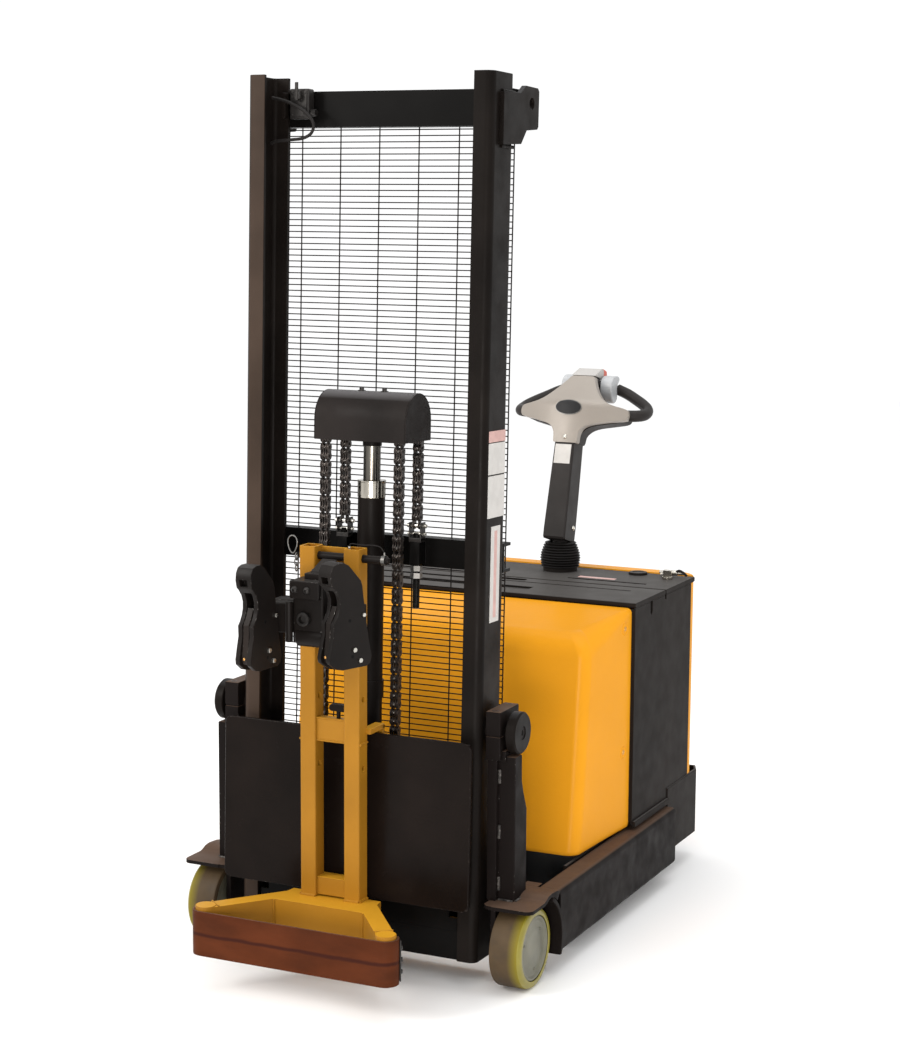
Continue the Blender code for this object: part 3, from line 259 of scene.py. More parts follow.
def make_looks():
    """Every material, by name."""
    worn_steel = (0.35, 0.33, 0.31)
    return dict(
        black=surface("black_paint", (0.0080, 0.0062, 0.0053), 0.4, mottle=0.3, specular=0.05, bump=0.15,
            bump_scale=260.0, gloss=0.1, dust=((0.030, 0.029, 0.030), 0.8)),
        # A darker copy of the black paint for the crossmembers and foot panel: painted shade.
        member=surface("member_black", (0.0034, 0.0031, 0.0029), 0.36, mottle=0.3, specular=0.05, bump=0.15,
            bump_scale=260.0),
        # A lighter brown copy of the black paint for the left rail's front: a painted sheen of the warm key light.
        flange=surface("flange_brown_black", (0.040, 0.027, 0.020), 0.4, mottle=0.2, specular=0.06, bump=0.15,
            bump_scale=260.0, gloss=0.1),
        # Plate: its lighter edges are partly wear and partly a painted edge highlight.
        plate=surface("plate_black", (0.0066, 0.0043, 0.0034), 0.24, mottle=0.3, specular=0.06, bump=0.1,
            bump_scale=200.0, gloss=0.06, wear=((0.26, 0.22, 0.19), 0.0022, 0.04)),
        # Crosshead cover: the bluish grey on what faces up is a painted sheen of the overhead light.
        crosshead=surface("crosshead_black", (0.0125, 0.0098, 0.0088), 0.55, mottle=0.3, specular=0.1, bump=0.2,
            bump_scale=260.0, gloss=0.1, dust=((0.115, 0.110, 0.112), 0.95)),
        black_worn=surface("black_paint_worn", (0.012, 0.0088, 0.0072), 0.42, mottle=0.35, specular=0.1,
            wear=(worn_steel, 0.0014, 0.05), bump=0.25, bump_scale=300.0),
        # Arm: the brown on what faces up is dust and a painted reflection of the yellow cowl.
        arm=surface("arm_black", (0.0074, 0.0054, 0.0049), 0.5, mottle=0.15, specular=0.05, bump=0.3, bump_scale=260.0,
            wear=(worn_steel, 0.0012, 0.0), gloss=0.1, dust=((0.105, 0.066, 0.046), 0.9)),
        cast=surface("cast_black", (0.0078, 0.0060, 0.0052), 0.42, mottle=0.3, specular=0.1, bump=0.35,
            bump_scale=420.0, wear=(worn_steel, 0.0012, 0.02), dust=((0.035, 0.032, 0.030), 0.7)),
        cover=surface("charcoal_cover", (0.0135, 0.0108, 0.0095), 0.55, mottle=0.2, specular=0.05, bump=0.3,
            bump_scale=900.0, bump_depth=0.0002, mottle_scale=2.5, gloss=0.05, dust=((0.075, 0.070, 0.066), 0.85)),
        cowl=surface("cowl_yellow", (0.72, 0.300, 0.0135), 0.36, mottle=0.04, coat=0.07, coat_rough=0.2, bump=0.5,
            bump_scale=150.0, bump_depth=0.0007, gloss=0.05, mottle_scale=3.0, specular=0.02),
        # Frame: the bright yellow on what faces up is painted top light.
        frame=surface("frame_yellow", (0.290, 0.128, 0.0090), 0.45, mottle=0.12, specular=0.14, bump=0.18,
            bump_scale=180.0, wear=((0.12, 0.07, 0.04), 0.0012, 0.0), wear_metal=False,
            dust=((0.60, 0.295, 0.019), 0.9)),
        # Chrome and rod: their stretched dark streaks are a painted reflection.
        chrome=surface("chrome", (0.46, 0.43, 0.37), 0.16, 1.0, mottle=0.1, bump=0.02, gloss=0.03,
            stretch=(1.0, 1.0, 0.04), streak=((0.045, 0.038, 0.030), 46.0, 0.5, 0.62)),
        rod=surface("rod_chrome", (0.20, 0.185, 0.16), 0.2, 1.0, mottle=0.1, bump=0.02, gloss=0.03,
            stretch=(1.0, 1.0, 0.04), streak=((0.035, 0.030, 0.025), 60.0, 0.45, 0.6)),
        roller=surface("chain_roller", (0.60, 0.58, 0.54), 0.22, 1.0, mottle=0.2, mottle_scale=90.0),
        bead=surface("weld_bead", (0.085, 0.075, 0.068), 0.4, 0.4, mottle=0.6, mottle_scale=160.0, bump=0.6,
            bump_scale=700.0, streak=((0.007, 0.006, 0.005), 90.0, 0.42, 0.55)),
        zinc=surface("zinc", (0.55, 0.53, 0.48), 0.32, 1.0, mottle=0.12, bump=0.1, mottle_scale=60.0),
        steel=surface("steel", (0.155, 0.150, 0.142), 0.4, 1.0, mottle=0.2, bump=0.15, mottle_scale=30.0),
        dark_steel=surface("dark_steel", (0.020, 0.0175, 0.016), 0.4, 0.5, mottle=0.3, mottle_scale=80.0),
        chain=surface("chain_steel", (0.030, 0.024, 0.021), 0.36, 0.75, mottle=0.45, mottle_scale=90.0, bump=0.3,
            bump_scale=600.0),
        brass=surface("brass", (0.55, 0.30, 0.10), 0.35, 1.0, mottle=0.1),
        rubber=surface("rubber", (0.012, 0.0105, 0.010), 0.62, mottle=0.2, specular=0.14, bump=0.2),
        tread=surface("tread", (0.064, 0.042, 0.022), 0.55, mottle=0.2, mottle_scale=14.0, bump=0.25, bump_scale=220.0,
            streak=((0.050, 0.036, 0.023), 26.0, 0.5, 0.75), specular=0.16,
            fade=(0, 0.386, 0.408, (0.17, 0.135, 0.012))),
        core=surface("tread_core", (0.19, 0.16, 0.012), 0.34, mottle=0.2, mottle_scale=18.0, coat=0.15),
        hub=surface("hub_grey", (0.130, 0.126, 0.092), 0.44, mottle=0.14, mottle_scale=20.0, bump=0.2,
            bump_scale=240.0),
        belt=surface("belt_leather", (0.074, 0.0195, 0.0070), 0.55, mottle=0.2, mottle_scale=9.0,
            stretch=(0.6, 0.6, 1.6), streak=((0.036, 0.012, 0.006), 11.0, 0.45, 0.85), bump=0.5, bump_scale=520.0,
            gloss=0.1, specular=0.04, band=(0.1325, 0.0060, (0.030, 0.0085, 0.006))),
        belt_edge=surface("belt_edge", (0.10, 0.036, 0.014), 0.7, mottle=0.3, mottle_scale=40.0, bump=0.5),
        charcoal=surface("charcoal_plastic", (0.021, 0.018, 0.0168), 0.5, mottle=0.15, bump=0.3, bump_scale=1100.0,
            bump_depth=0.0002, specular=0.16),
        silver=surface("silver_plastic", (0.270, 0.238, 0.205), 0.42, 0.15, mottle=0.05, bump=0.1, bump_scale=1500.0,
            bump_depth=0.0002, coat=0.1, coat_rough=0.3),
        pale=surface("pale_plastic", (0.40, 0.385, 0.365), 0.36, mottle=0.05, bump=0.08),
        throttle=surface("throttle_grey", (0.40, 0.41, 0.42), 0.38, mottle=0.06, bump=0.12),
        red=surface("red_plastic", (0.55, 0.06, 0.02), 0.4, mottle=0.06, coat=0.1),
        label=surface("blank_label", (0.50, 0.48, 0.455), 0.45, mottle=0.06, mottle_scale=40.0),
        label_band=surface("label_band", (0.50, 0.30, 0.27), 0.45, mottle=0.08, mottle_scale=60.0),
        badge=surface("badge", (0.020, 0.020, 0.021), 0.4, mottle=0.2, specular=0.12),
        # Flat near-black for the beak's holes and the gap between the lids: painted shade.
        pit=surface("dark_gap", (0.004, 0.004, 0.004), 0.8, mottle=0.2, specular=0.1),
        battery=surface("battery_case", (0.05, 0.055, 0.06), 0.6, mottle=0.2),
    )


LOOK = make_looks()


# ---------------------------------------------------------------- solids

def arc(a, b, radius, start_deg, end_deg, steps):
    """Points on an arc, both ends included."""
    points = []
    for i in range(steps + 1):
        angle = math.radians(start_deg + (end_deg - start_deg) * i / steps)
        points.append((a + radius * math.cos(angle), b + radius * math.sin(angle)))
    return points


def prism(outline, axis, low, high):
    """An outline pushed along an axis. The outline's two numbers are the other axes in X, Y, Z order."""
    solid = bmesh.new()
    order = {"X": (1, 2, 0), "Y": (0, 2, 1), "Z": (0, 1, 2)}[axis]
    rings = []
    for level in (low, high):
        ring = []
        for first, second in outline:
            point = [0.0, 0.0, 0.0]
            point[order[0]] = first
            point[order[1]] = second
            point[order[2]] = level
            ring.append(solid.verts.new(point))
        rings.append(ring)
    solid.faces.new(rings[0])
    solid.faces.new(rings[1])
    for i in range(len(outline)):
        j = (i + 1) % len(outline)
        solid.faces.new((rings[0][i], rings[0][j], rings[1][j], rings[1][i]))
    bmesh.ops.recalc_face_normals(solid, faces=solid.faces)
    return solid


def box(xs, ys, zs, rounding=0.0, segments=2):
    """A block, with rounded edges if asked."""
    xs, ys, zs = sorted(xs), sorted(ys), sorted(zs)
    solid = prism([(xs[0], ys[0]), (xs[1], ys[0]), (xs[1], ys[1]), (xs[0], ys[1])], "Z", zs[0], zs[1])
    return soften(solid, rounding, segments) if rounding else solid


def soften(solid, width, segments=2, angle=30.0):
    """Rounds every edge sharper than an angle."""
    limit = math.radians(angle)
    edges = [e for e in solid.edges if len(e.link_faces) == 2 and e.calc_face_angle(0.0) > limit]
    bmesh.ops.bevel(solid, geom=edges, offset=width, segments=segments, profile=0.5, affect="EDGES",
                    clamp_overlap=True)
    return solid


def rounded_outline(first, second, radius, steps=5):
    """A rectangle with rounded corners."""
    first, second = sorted(first), sorted(second)
    points = []
    for a, b, start in ((first[1], second[1], 0), (first[0], second[1], 90), (first[0], second[0], 180),
                        (first[1], second[0], 270)):
        centre_a = a - math.copysign(radius, a - sum(first) / 2)
        centre_b = b - math.copysign(radius, b - sum(second) / 2)
        points += arc(centre_a, centre_b, radius, start, start + 90, steps)
    return points


def turned(profile, axis, centre=(0.0, 0.0, 0.0), segments=48):
    """A solid of revolution from (distance along the axis, radius) points."""
    solid = bmesh.new()
    order = {"X": (0, 1, 2), "Y": (1, 2, 0), "Z": (2, 0, 1)}[axis]
    rings = []
    for along, radius in profile:
        ring = []
        for i in range(1 if radius == 0.0 else segments):
            angle = 2.0 * math.pi * (i + 0.5) / segments
            point = [0.0, 0.0, 0.0]
            point[order[0]] = along
            point[order[1]] = radius * math.cos(angle)
            point[order[2]] = radius * math.sin(angle)
            ring.append(solid.verts.new(Vector(point) + Vector(centre)))
        rings.append(ring)
    for ring, other in zip(rings, rings[1:] + rings[:1]):
        if len(ring) == 1 and len(other) == 1:
            continue
        for i in range(segments):
            j = (i + 1) % segments
            corners = [ring[i % len(ring)], ring[j % len(ring)], other[j % len(other)], other[i % len(other)]]
            solid.faces.new(list(dict.fromkeys(corners)))
    bmesh.ops.recalc_face_normals(solid, faces=solid.faces)
    return solid


def turned_out(profile, side, centre, segments=96):
    """A solid of revolution about X whose distances run outward on one side."""
    return turned([(side * along, radius) for along, radius in profile], "X", centre, segments)


def rod(axis, centre, radius, low, high, segments=24, edge=0.0):
    """A round bar, with bevelled ends if asked."""
    low, high = sorted((low, high))
    profile = [(low, 0.0), (low, radius), (high, radius), (high, 0.0)]
    if edge:
        profile[1:3] = [(low, radius - edge), (low + edge, radius), (high - edge, radius), (high, radius - edge)]
    return turned(profile, axis, centre, segments)


def merged(*solids):
    """One bmesh that holds several solids."""
    whole = bmesh.new()
    for solid in solids:
        mesh = bpy.data.meshes.new("part")
        solid.to_mesh(mesh)
        solid.free()
        whole.from_mesh(mesh)
        bpy.data.meshes.remove(mesh)
    return whole


def moved(solid, matrix):
    solid.transform(matrix)
    return solid


def aimed(solid, place, direction):
    """A solid built along +Z from the origin, turned to a direction and moved to a place."""
    turn = Vector((0, 0, 1)).rotation_difference(Vector(direction)).to_matrix().to_4x4()
    return moved(solid, Matrix.Translation(place) @ turn)


def hex_bolt(place, direction, across, height, washer=True):
    """A hexagon head with a chamfered top, on a washer."""
    radius = across / math.sqrt(3.0)
    head = turned([(0.0, 0.0), (0.0, radius), (height * 0.82, radius), (height, radius * 0.86), (height, 0.0)], "Z",
                  segments=6)
    parts = [moved(head, Matrix.Translation((0, 0, 1.6 if washer else 0.0)))]
    if washer:
        parts.append(rod("Z", (0, 0, 0), across * 0.98, -0.6, 1.6, 24, 0.4))
    return aimed(merged(*parts), place, direction)


def socket_bolt(place, direction, radius, height):
    """A cap screw with its hexagon socket."""
    profile = [(-1.0, 0.0), (-1.0, radius), (height - 0.8, radius), (height, radius - 0.8), (height, radius * 0.58)]
    profile += [(height * 0.35, radius * 0.52), (height * 0.35, 0.0)]
    return aimed(turned(profile, "Z", segments=24), place, direction)


def dome_bolt(place, direction, radius, height):
    """A round-headed screw with a small drive recess."""
    profile = [(-0.6, 0.0), (-0.6, radius)]
    profile += [(height * math.sin(math.radians(a)), radius * math.cos(math.radians(a))) for a in (10, 30, 50, 66)]
    profile += [(height * 0.5, radius * 0.3), (height * 0.5, 0.0)]
    return aimed(turned(profile, "Z", segments=20), place, direction)


def weld(start, end, radius, seed=0):
    """A weld bead between two points, with its overlapping ripples."""
    start, end = Vector(start), Vector(end)
    length = (end - start).length
    count = max(4, int(length / (radius * 0.55)))
    profile = [(0.0, 0.0)]
    for i in range(count + 1):
        ripple = 0.14 if i % 2 else 0.0
        rough = 0.12 * noise.noise(Vector((i * 0.7, seed * 3.1, 0.0)))
        profile.append((length * i / count, radius * (1.0 - ripple + rough)))
    profile.append((length, 0.0))
    return aimed(turned(profile, "Z", segments=8), start, end - start)


def pipe(points, radius, sides=10, closed=False):
    """A round bar along a path."""
    points = [Vector(p) for p in points]
    solid = bmesh.new()
    count = len(points)
    rings = []
    side = None
    for i, point in enumerate(points):
        before = points[(i - 1) % count] if closed or i else point
        after = points[(i + 1) % count] if closed or i < count - 1 else point
        heading = (after - before).normalized()
        if side is None:
            side = heading.orthogonal().normalized()
        side = (side - heading * side.dot(heading)).normalized()
        up = heading.cross(side)
        size = radius[i] if isinstance(radius, (list, tuple)) else radius
        ring = []
        for k in range(sides):
            angle = 2.0 * math.pi * k / sides
            ring.append(solid.verts.new(point + (side * math.cos(angle) + up * math.sin(angle)) * size))
        rings.append(ring)
    pairs = list(zip(rings, rings[1:])) + ([(rings[-1], rings[0])] if closed else [])
    for ring, other in pairs:
        for k in range(sides):
            m = (k + 1) % sides
            solid.faces.new((ring[k], ring[m], other[m], other[k]))
    if not closed:
        solid.faces.new(rings[0][::-1])
        solid.faces.new(rings[-1])
    bmesh.ops.recalc_face_normals(solid, faces=solid.faces)
    return solid


def spline(a, b, c, d, t):
    """A point between b and c on a smooth curve through four points."""
    return 0.5 * (2 * b + (c - a) * t + (2 * a - 5 * b + 4 * c - d) * t * t + (3 * b - a - 3 * c + d) * t ** 3)


def curved(route, steps):
    """Points on a smooth curve through a route."""
    ends = [Vector(route[0]) * 2 - Vector(route[1])] + [Vector(p) for p in route]
    ends.append(Vector(route[-1]) * 2 - Vector(route[-2]))
    points = []
    for corners in zip(ends, ends[1:], ends[2:], ends[3:]):
        points += [spline(*corners, i / steps) for i in range(steps)]
    points.append(Vector(route[-1]))
    return points


def smooth_outline(outline, steps=4):
    """A closed outline with a smooth curve through its points."""
    points = []
    for i in range(len(outline)):
        corners = [Vector(outline[(i + k) % len(outline)]) for k in (-1, 0, 1, 2)]
        points += [tuple(spline(*corners, k / steps)) for k in range(steps)]
    return points


def carved(solid, *cutters):
    """A solid with others cut from it."""
    target = temporary(solid)
    for cutter in cutters:
        tool = temporary(cutter)
        step = target.modifiers.new("cut", "BOOLEAN")
        step.operation = "DIFFERENCE"
        step.object = tool
        bpy.context.view_layer.update()
        graph = bpy.context.evaluated_depsgraph_get()
        result = bpy.data.meshes.new_from_object(target.evaluated_get(graph))
        target.modifiers.remove(step)
        target.data = result
        bpy.data.objects.remove(tool)
    whole = bmesh.new()
    whole.from_mesh(target.data)
    bpy.data.objects.remove(target)
    return whole


def temporary(solid, name="temporary"):
    """An object in the scene from a bmesh, which is used up."""
    mesh = bpy.data.meshes.new(name)
    solid.to_mesh(mesh)
    solid.free()
    item = bpy.data.objects.new(name, mesh)
    bpy.context.scene.collection.objects.link(item)
    return item


def piece(name, solid, look, body="chassis", where=TRUCK, instead_of=(), angle=35.0):
    """Puts a solid in the scene as a piece that may stand for CAD nodes.

    The body is the one it rides on, or a tuple (first, second, start, end) for a piece between two bodies, whose
    values are not used: such a piece stays fixed where it is drawn.
    """
    bmesh.ops.recalc_face_normals(solid, faces=solid.faces)
    item = temporary(solid, name)
    mesh = item.data
    mesh.transform(where)
    mesh.materials.append(LOOK[look])
    mesh.shade_smooth()
    mesh.set_sharp_from_angle(angle=math.radians(angle))
    if isinstance(body, tuple):
        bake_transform(item)
    else:
        evened = item.modifiers.new("evened", "WEIGHTED_NORMAL")
        evened.keep_sharp = True
        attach(item, body)
    if instead_of:
        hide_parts(*instead_of)
    return item


def keep_node(name, look, rounding=1.0):
    """A CAD node that stays, with a finished material and softly rounded edges."""
    node = frame["nodes"][name]
    materials = node.data.materials
    if not materials:
        materials.append(LOOK[look])
    for index in range(len(materials)):
        materials[index] = LOOK[look]
    join = node.modifiers.new("join", "WELD")
    join.merge_threshold = 0.00001
    edge = node.modifiers.new("edge", "BEVEL")
    edge.width = rounding * MM
    edge.segments = 2
    edge.limit_method = "ANGLE"
    edge.angle_limit = math.radians(35)
    edge.harden_normals = True


def side_name(name, side):
    """A name with its side."""
    return name + ("_right" if side > 0 else "_left")


def mirrored(outline):
    """An outline on the other side of the middle."""
    return [(-a, b) for a, b in outline]


# ---------------------------------------------------------------- mast

HALF = 294.5  # from the middle to a rail's outer face
RAIL_DEPTH, RAIL_WALL, RAIL_CORNER = 114, 9, 18


def rail_outline():
    """The rail in plan: a channel with rounded corners, open to the middle."""
    edge = HALF - 44
    corner = HALF - RAIL_CORNER
    deep = RAIL_DEPTH - RAIL_CORNER
    inner = RAIL_CORNER - RAIL_WALL
    return [(edge, 0.0),
            *arc(corner, RAIL_CORNER, RAIL_CORNER, 270, 360, 8), *arc(corner, deep, RAIL_CORNER, 0, 90, 8),
            (edge, RAIL_DEPTH), (edge, RAIL_DEPTH - RAIL_WALL),
            *arc(corner, deep, inner, 90, 0, 6), *arc(corner, RAIL_CORNER, inner, 0, -90, 6),
            (edge, RAIL_WALL)]


def ear_plate(side):
    """The plate with an eye near a rail's top."""
    outline = [(36, 1806), (130, 1812), (145, 1828), (158, 1842), (214, 1847), (220, 1853), (221, 1928), (214, 1935),
               (151, 1936), (124, 1919), (36, 1916)]
    plate = prism(outline, "X", side * (HALF - 2), side * (HALF + 10))
    eye = rod("X", (0, 182, 1900), 12.5, side * (HALF - 30), side * (HALF + 30), 32)
    return soften(carved(plate, eye), 1.2, 2, 50.0)


def mast_rails():
    """Both rails with their trunnion pins, and what joins them."""
    pin = [(HALF - 5, 0.0), (HALF - 5, 24.5), (351.5, 24.5), (351.5, 44.5), (353, 46), (370, 46), (373.5, 42.5),
           (373.5, 15.5), (371.5, 14.0), (371.5, 6.5), (370.0, 5.0), (370.0, 0.0)]
    for side in SIDES:
        outline = rail_outline() if side > 0 else mirrored(rail_outline())
        rail = soften(prism(outline, "Z", 48.5, 1957.0), 1.0, 2, 50.0)
        outside = side * (HALF + 1)
        beads = [weld((outside, 45, z), (outside, 110, z), 4.0, z) for z in (1804, 1918)]
        tab = prism([(92, 1868), (148, 1868), (148, 1925), (92, 1925)], "X", side * (HALF - 44), side * (HALF - 34))
        solids = (rail, ear_plate(side), turned_out(pin, side, TRUNNION, 72), soften(tab, 2.0), *beads)
        item = piece(side_name("rail", side), merged(*solids), "black", "mast", MAST, [side_name("mast_rail", side)])
        # The left rail's front faces take the lighter brown copy of the black paint: a painted sheen.
        if side < 0:
            item.data.materials.append(LOOK["flange"])
            for face in item.data.polygons:
                if (MAST.inverted() @ face.center).y < 4.0:
                    face.material_index = 1
    # The crossmembers take the darker copy of the black paint: painted shade.
    for name in ("top_crossmember", "mid_crossmember", "bottom_crossmember"):
        keep_node(name, "member", 1.2)
    outline = [(-246, 108), (246, 108), (246, 142), (226, 142), (226, 173), (-226, 173), (-226, 142), (-246, 142)]
    piece("foot_panel", prism(outline, "Y", 8.6, 15), "member", "mast", MAST)


def mast_labels():
    """Blank plates where the real truck carries printed ones."""
    x = HALF + 0.2
    plates = [box((x - 1, x + 0.7), (17, 101), zs, 0.3, 1) for zs in ((1020, 1110), (1113, 1180))]
    top = box((x - 1, x + 0.7), (17, 101), (1182, 1206), 0.3, 1)
    strip = box((x - 1, x + 0.7), (38, 84), (793, 1001), 0.3, 1)
    band = box((x, x + 1.0), (54, 68), (803, 991), 0.2, 1)
    for name, solid, look in (("rail_label", merged(*plates), "label"), ("rail_label_top", top, "label_band"),
                              ("rail_strip", strip, "label"), ("rail_strip_band", band, "label_band")):
        piece(name, solid, look, "mast", MAST)


def mesh_guard():
    """The welded wire grille behind the mast: close cross wires on widely spaced upright ones."""
    low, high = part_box("mesh_guard")
    half = (high.x - low.x) / 2 / MM
    y, top, bottom, pitch = 155.6, 1899.0, 453.0, 13.2
    count = int((top - bottom) / pitch) + 1
    wires = [rod("X", (0, y, top - i * pitch), 1.35, -half, half, 8) for i in range(count)]
    for x in [s * 97.0 * (k + 0.5) for s in SIDES for k in range(3)] + [-half + 1.5, half - 1.5]:
        wires.append(rod("Z", (x, y + 2.2, 0), 1.5, bottom - 4, top + 4, 8))
    piece("grille", merged(*wires), "black", "mast", MAST, ["mesh_guard"], 60.0)


def lift_cylinder():
    """The lift cylinder's barrel with its port and strap, and the gland."""
    centre = (0, SHEAVE_Y, 0)
    barrel = [(62.5, 0.0), (62.5, 30.0), (1044.4, 30.0), (1045.6, 29.0), (1045.6, 24.0), (1030, 0.0)]
    port = rod("Y", (0, 0, 110), 12.0, 70, 96, 6)
    strap = turned([(600, 29.0), (600, 33.0), (640, 33.0), (640, 29.0)], "Z", centre)
    piece("barrel", merged(turned(barrel, "Z", centre, 64), port, strap), "black", "mast", MAST, ["lift_cylinder"])
    gland = [(1046, 21.5), (1046, 30.4), (1047, 31.0), (1079, 31.0), (1080.0, 31.8), (1083, 31.8), (1083.6, 31.0),
             (1083.6, 19.4), (1046, 19.4)]
    piece("gland", turned(gland, "Z", centre, 64), "chrome", "mast", MAST, ["cylinder_gland"])


def limit_switch():
    """The switch box, and its lead, which leaves the left rail, passes the switch and goes back into the rail."""
    body = box((-233, -184), (78, 104), (1866, 1932), 4.0, 3)
    lid = box((-229, -188), (75.5, 79), (1871, 1927), 1.5, 2)
    bracket = box((-226, -190), (102, 114), (1870, 1915), 1.0)
    gland = rod("X", (0, 91, 1880), 8.0, -184, -172, 6)
    head = rod("Y", (-207, 0, 1915), 9.0, 64, 80, 24, 1.5)
    lever = box((-211, -203), (62, 66), (1905, 1945), 1.5)
    piece("switch", merged(body, bracket, gland, head, lever), "dark_steel", "mast", MAST, ["limit_switch"])
    screws = [dome_bolt((x, 75.5, z), (0, -1, 0), 2.6, 1.6) for x in (-224, -193) for z in (1876, 1922)]
    piece("switch_lid", merged(lid, *screws), "dark_steel", "mast", MAST)
    route = [(-268, 64, 1912), (-236, 60, 1905), (-213, 58, 1897), (-188, 58, 1884), (-168, 58, 1867), (-160, 58, 1850),
             (-166, 57, 1833), (-186, 57, 1823), (-212, 56, 1820), (-238, 56, 1818), (-256, 58, 1816), (-268, 60, 1812)]
    line = curved(route, 5)
    lead = piece("switch_lead", pipe(line, 3.5, 12), "rubber", "mast", MAST, ["switch_cable"], 60.0)


# ---------------------------------------------------------------- chains

PITCH = 19.05
CHAIN_X = 90.0
ANCHOR_Y = 96.0
SHEAVE_Y, SHEAVE_Z = 50.0, 1216.0
WRAP_R = 46.0


def chain_links(places):
    """Links and rollers of a roller chain between pin places (x, y, z), all in one upright plane."""
    parts = []
    rollers = []
    thick = 2.5
    for i, (x, y, z) in enumerate(places):
        parts.append(rod("X", (0, y, z), 3.0, x - 11.6, x + 11.6, 10, 0.6))
        if i + 1 == len(places):
            break
        nx, ny, nz = places[i + 1]
        tilt = math.degrees(math.atan2(nz - z, ny - y))
        length = math.hypot(ny - y, nz - z)
        across = Vector((-(nz - z), ny - y)) / length * 6.4
        middle = Vector(((y + ny) / 2, (z + nz) / 2))
        size = 8.9 if i % 2 else 7.9
        outline = arc(y, z, size, tilt + 50, tilt + 310, 8) + [tuple(middle - across)]
        outline += arc(ny, nz, size, tilt + 230, tilt + 490, 8) + [tuple(middle + across)]
        offsets = (8.7, 3.0) if i % 2 else (6.0,)
        if i % 2 == 0:
            rollers += [rod("X", (0, a, b), 5.4, x - 4.6, x + 4.6, 16, 0.6) for a, b in ((y, z), (ny, nz))]
        for offset in offsets:
            for place in {offset, -offset}:
                parts.append(prism(outline, "X", x + place - thick / 2, x + place + thick / 2))
    return merged(*parts), merged(*rollers)


def chain_anchor(side):
    """Where a rear chain ends: clevis, pins, threaded rod and nuts on the middle crossmember."""
    x, y = side * CHAIN_X, ANCHOR_Y
    plates = [box((x + a, x + b), (84, 108), (952, 992), 1.2) for a, b in ((-15, -12), (12, 15))]
    clevis = merged(*plates, box((x - 15, x + 15), (84, 108), (948, 958), 1.5))
    piece(side_name("chain_clevis", side), clevis, "dark_steel", "mast", MAST)
    pins = [rod("X", (0, y, z), 4.6, x - reach, x + reach, 16, 1.0) for z, reach in ((984, 24), (966, 22))]
    piece(side_name("clevis_pins", side), merged(*pins), "zinc", "mast", MAST)
    nuts = [turned([(z, 0.0), (z, 13.5), (z + 12, 13.5), (z + 12, 0.0)], "Z", (x, y, 0), 6) for z in (868, 884)]
    threads = [(800.0, 0.0)]
    for i in range(33):
        threads += [(800 + i * 2.0, 8.0), (801 + i * 2.0, 7.0)]
    threads.append((868.0, 0.0))
    screw = merged(turned(threads, "Z", (x, y, 0), 16), merged(*nuts))
    piece(side_name("anchor_rod", side), screw, "steel", "mast", MAST)


def chains():
    """Front runs from carriage to crosshead, rear runs from the middle member, and the wrap over each sheave."""
    for side in SIDES:
        x = side * CHAIN_X
        for name, y, low, bodies in (("chain_front", 4.0, 506.0, ("carriage", "piston")),
                                     ("chain_rear", ANCHOR_Y, 984.0, ("mast", "piston"))):
            count = int((SHEAVE_Z - low) / PITCH)
            links, rollers = chain_links([(x, y, low + PITCH * i) for i in range(count + 1)])
            span = (*bodies, (x, y, low), (x, y, SHEAVE_Z))
            piece(side_name(name + "_links", side), links, "chain", span, MAST, [side_name(name, side)],
                  40.0)
            piece(side_name(name + "_rollers", side), rollers, "roller", span, MAST, angle=40.0)
        turns = [PITCH / WRAP_R * (i + 0.1) for i in range(8)]
        places = [(x, SHEAVE_Y - WRAP_R * math.cos(turn), SHEAVE_Z + WRAP_R * math.sin(turn)) for turn in turns]
        wrap, _ = chain_links(places)
        piece(side_name("chain_wrap", side), wrap, "chain", "piston", MAST, angle=40.0)
        chain_anchor(side)


# ---------------------------------------------------------------- crosshead and piston

def crosshead():
    """The cover over the sheaves, the crosshead and the piston rod."""
    y, z, r = SHEAVE_Y, SHEAVE_Z, 62.0
    outer = [(y + r, 1172)] + arc(y, z, r, 0, 180, 36) + [(y - r, 1172)]
    inner = [(y - r + 4, 1172)] + arc(y, z, r - 4, 180, 0, 36) + [(y + r - 4, 1172)]
    skin = soften(prism(outer + inner, "X", -111, 111), 1.0, 2, 50.0)
    end = [(a, max(b, 1172.5)) for a, b in outer]
    ends = [soften(prism(end, "X", s * 107.5, s * 112), 1.2, 2, 50.0) for s in SIDES]
    piece("chain_cover", merged(skin, *ends), "crosshead", "piston", MAST, ["crosshead_cover"])
    bolts = [hex_bolt((s * 28, y, z + r - 0.5), (0, 0, 1), 9.0, 6.0) for s in SIDES]
    piece("cover_bolts", merged(*bolts), "dark_steel", "piston", MAST)
    keep_node("crosshead", "crosshead", 1.0)
    profile = [(132, 0.0), (132, 24.0), (162, 24.0), (162, 19.0), (1171, 19.0), (1171, 0.0)]
    piece("rod", turned(profile, "Z", (0, y, 0), 64), "rod", "piston", MAST, ["lift_rod"])
    collar = turned([(1159, 19.1), (1159, 21.0), (1171, 21.0), (1171, 19.1)], "Z", (0, y, 0))
    piece("rod_collar", collar, "black", "piston", MAST)
    for side in SIDES:
        keep_node(side_name("chain_sheave", side), "steel", 0.5)


# ---------------------------------------------------------------- carriage

PIN_Z = 939.0


def carriage():
    """The plate in front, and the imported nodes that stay."""
    plate = soften(prism(rounded_outline((-303, 303), (178, 547), 16, 8), "Y", -59.4, -49.6), 2.6, 3)
    piece("plate", plate, "plate", "carriage", MAST, ["carriage_plate"])
    keep_node("carriage_frame", "black", 1.0)
    for side in SIDES:
        for level in ("lower", "upper"):
            keep_node(side_name("carriage_roller_" + level, side), "steel", 0.6)


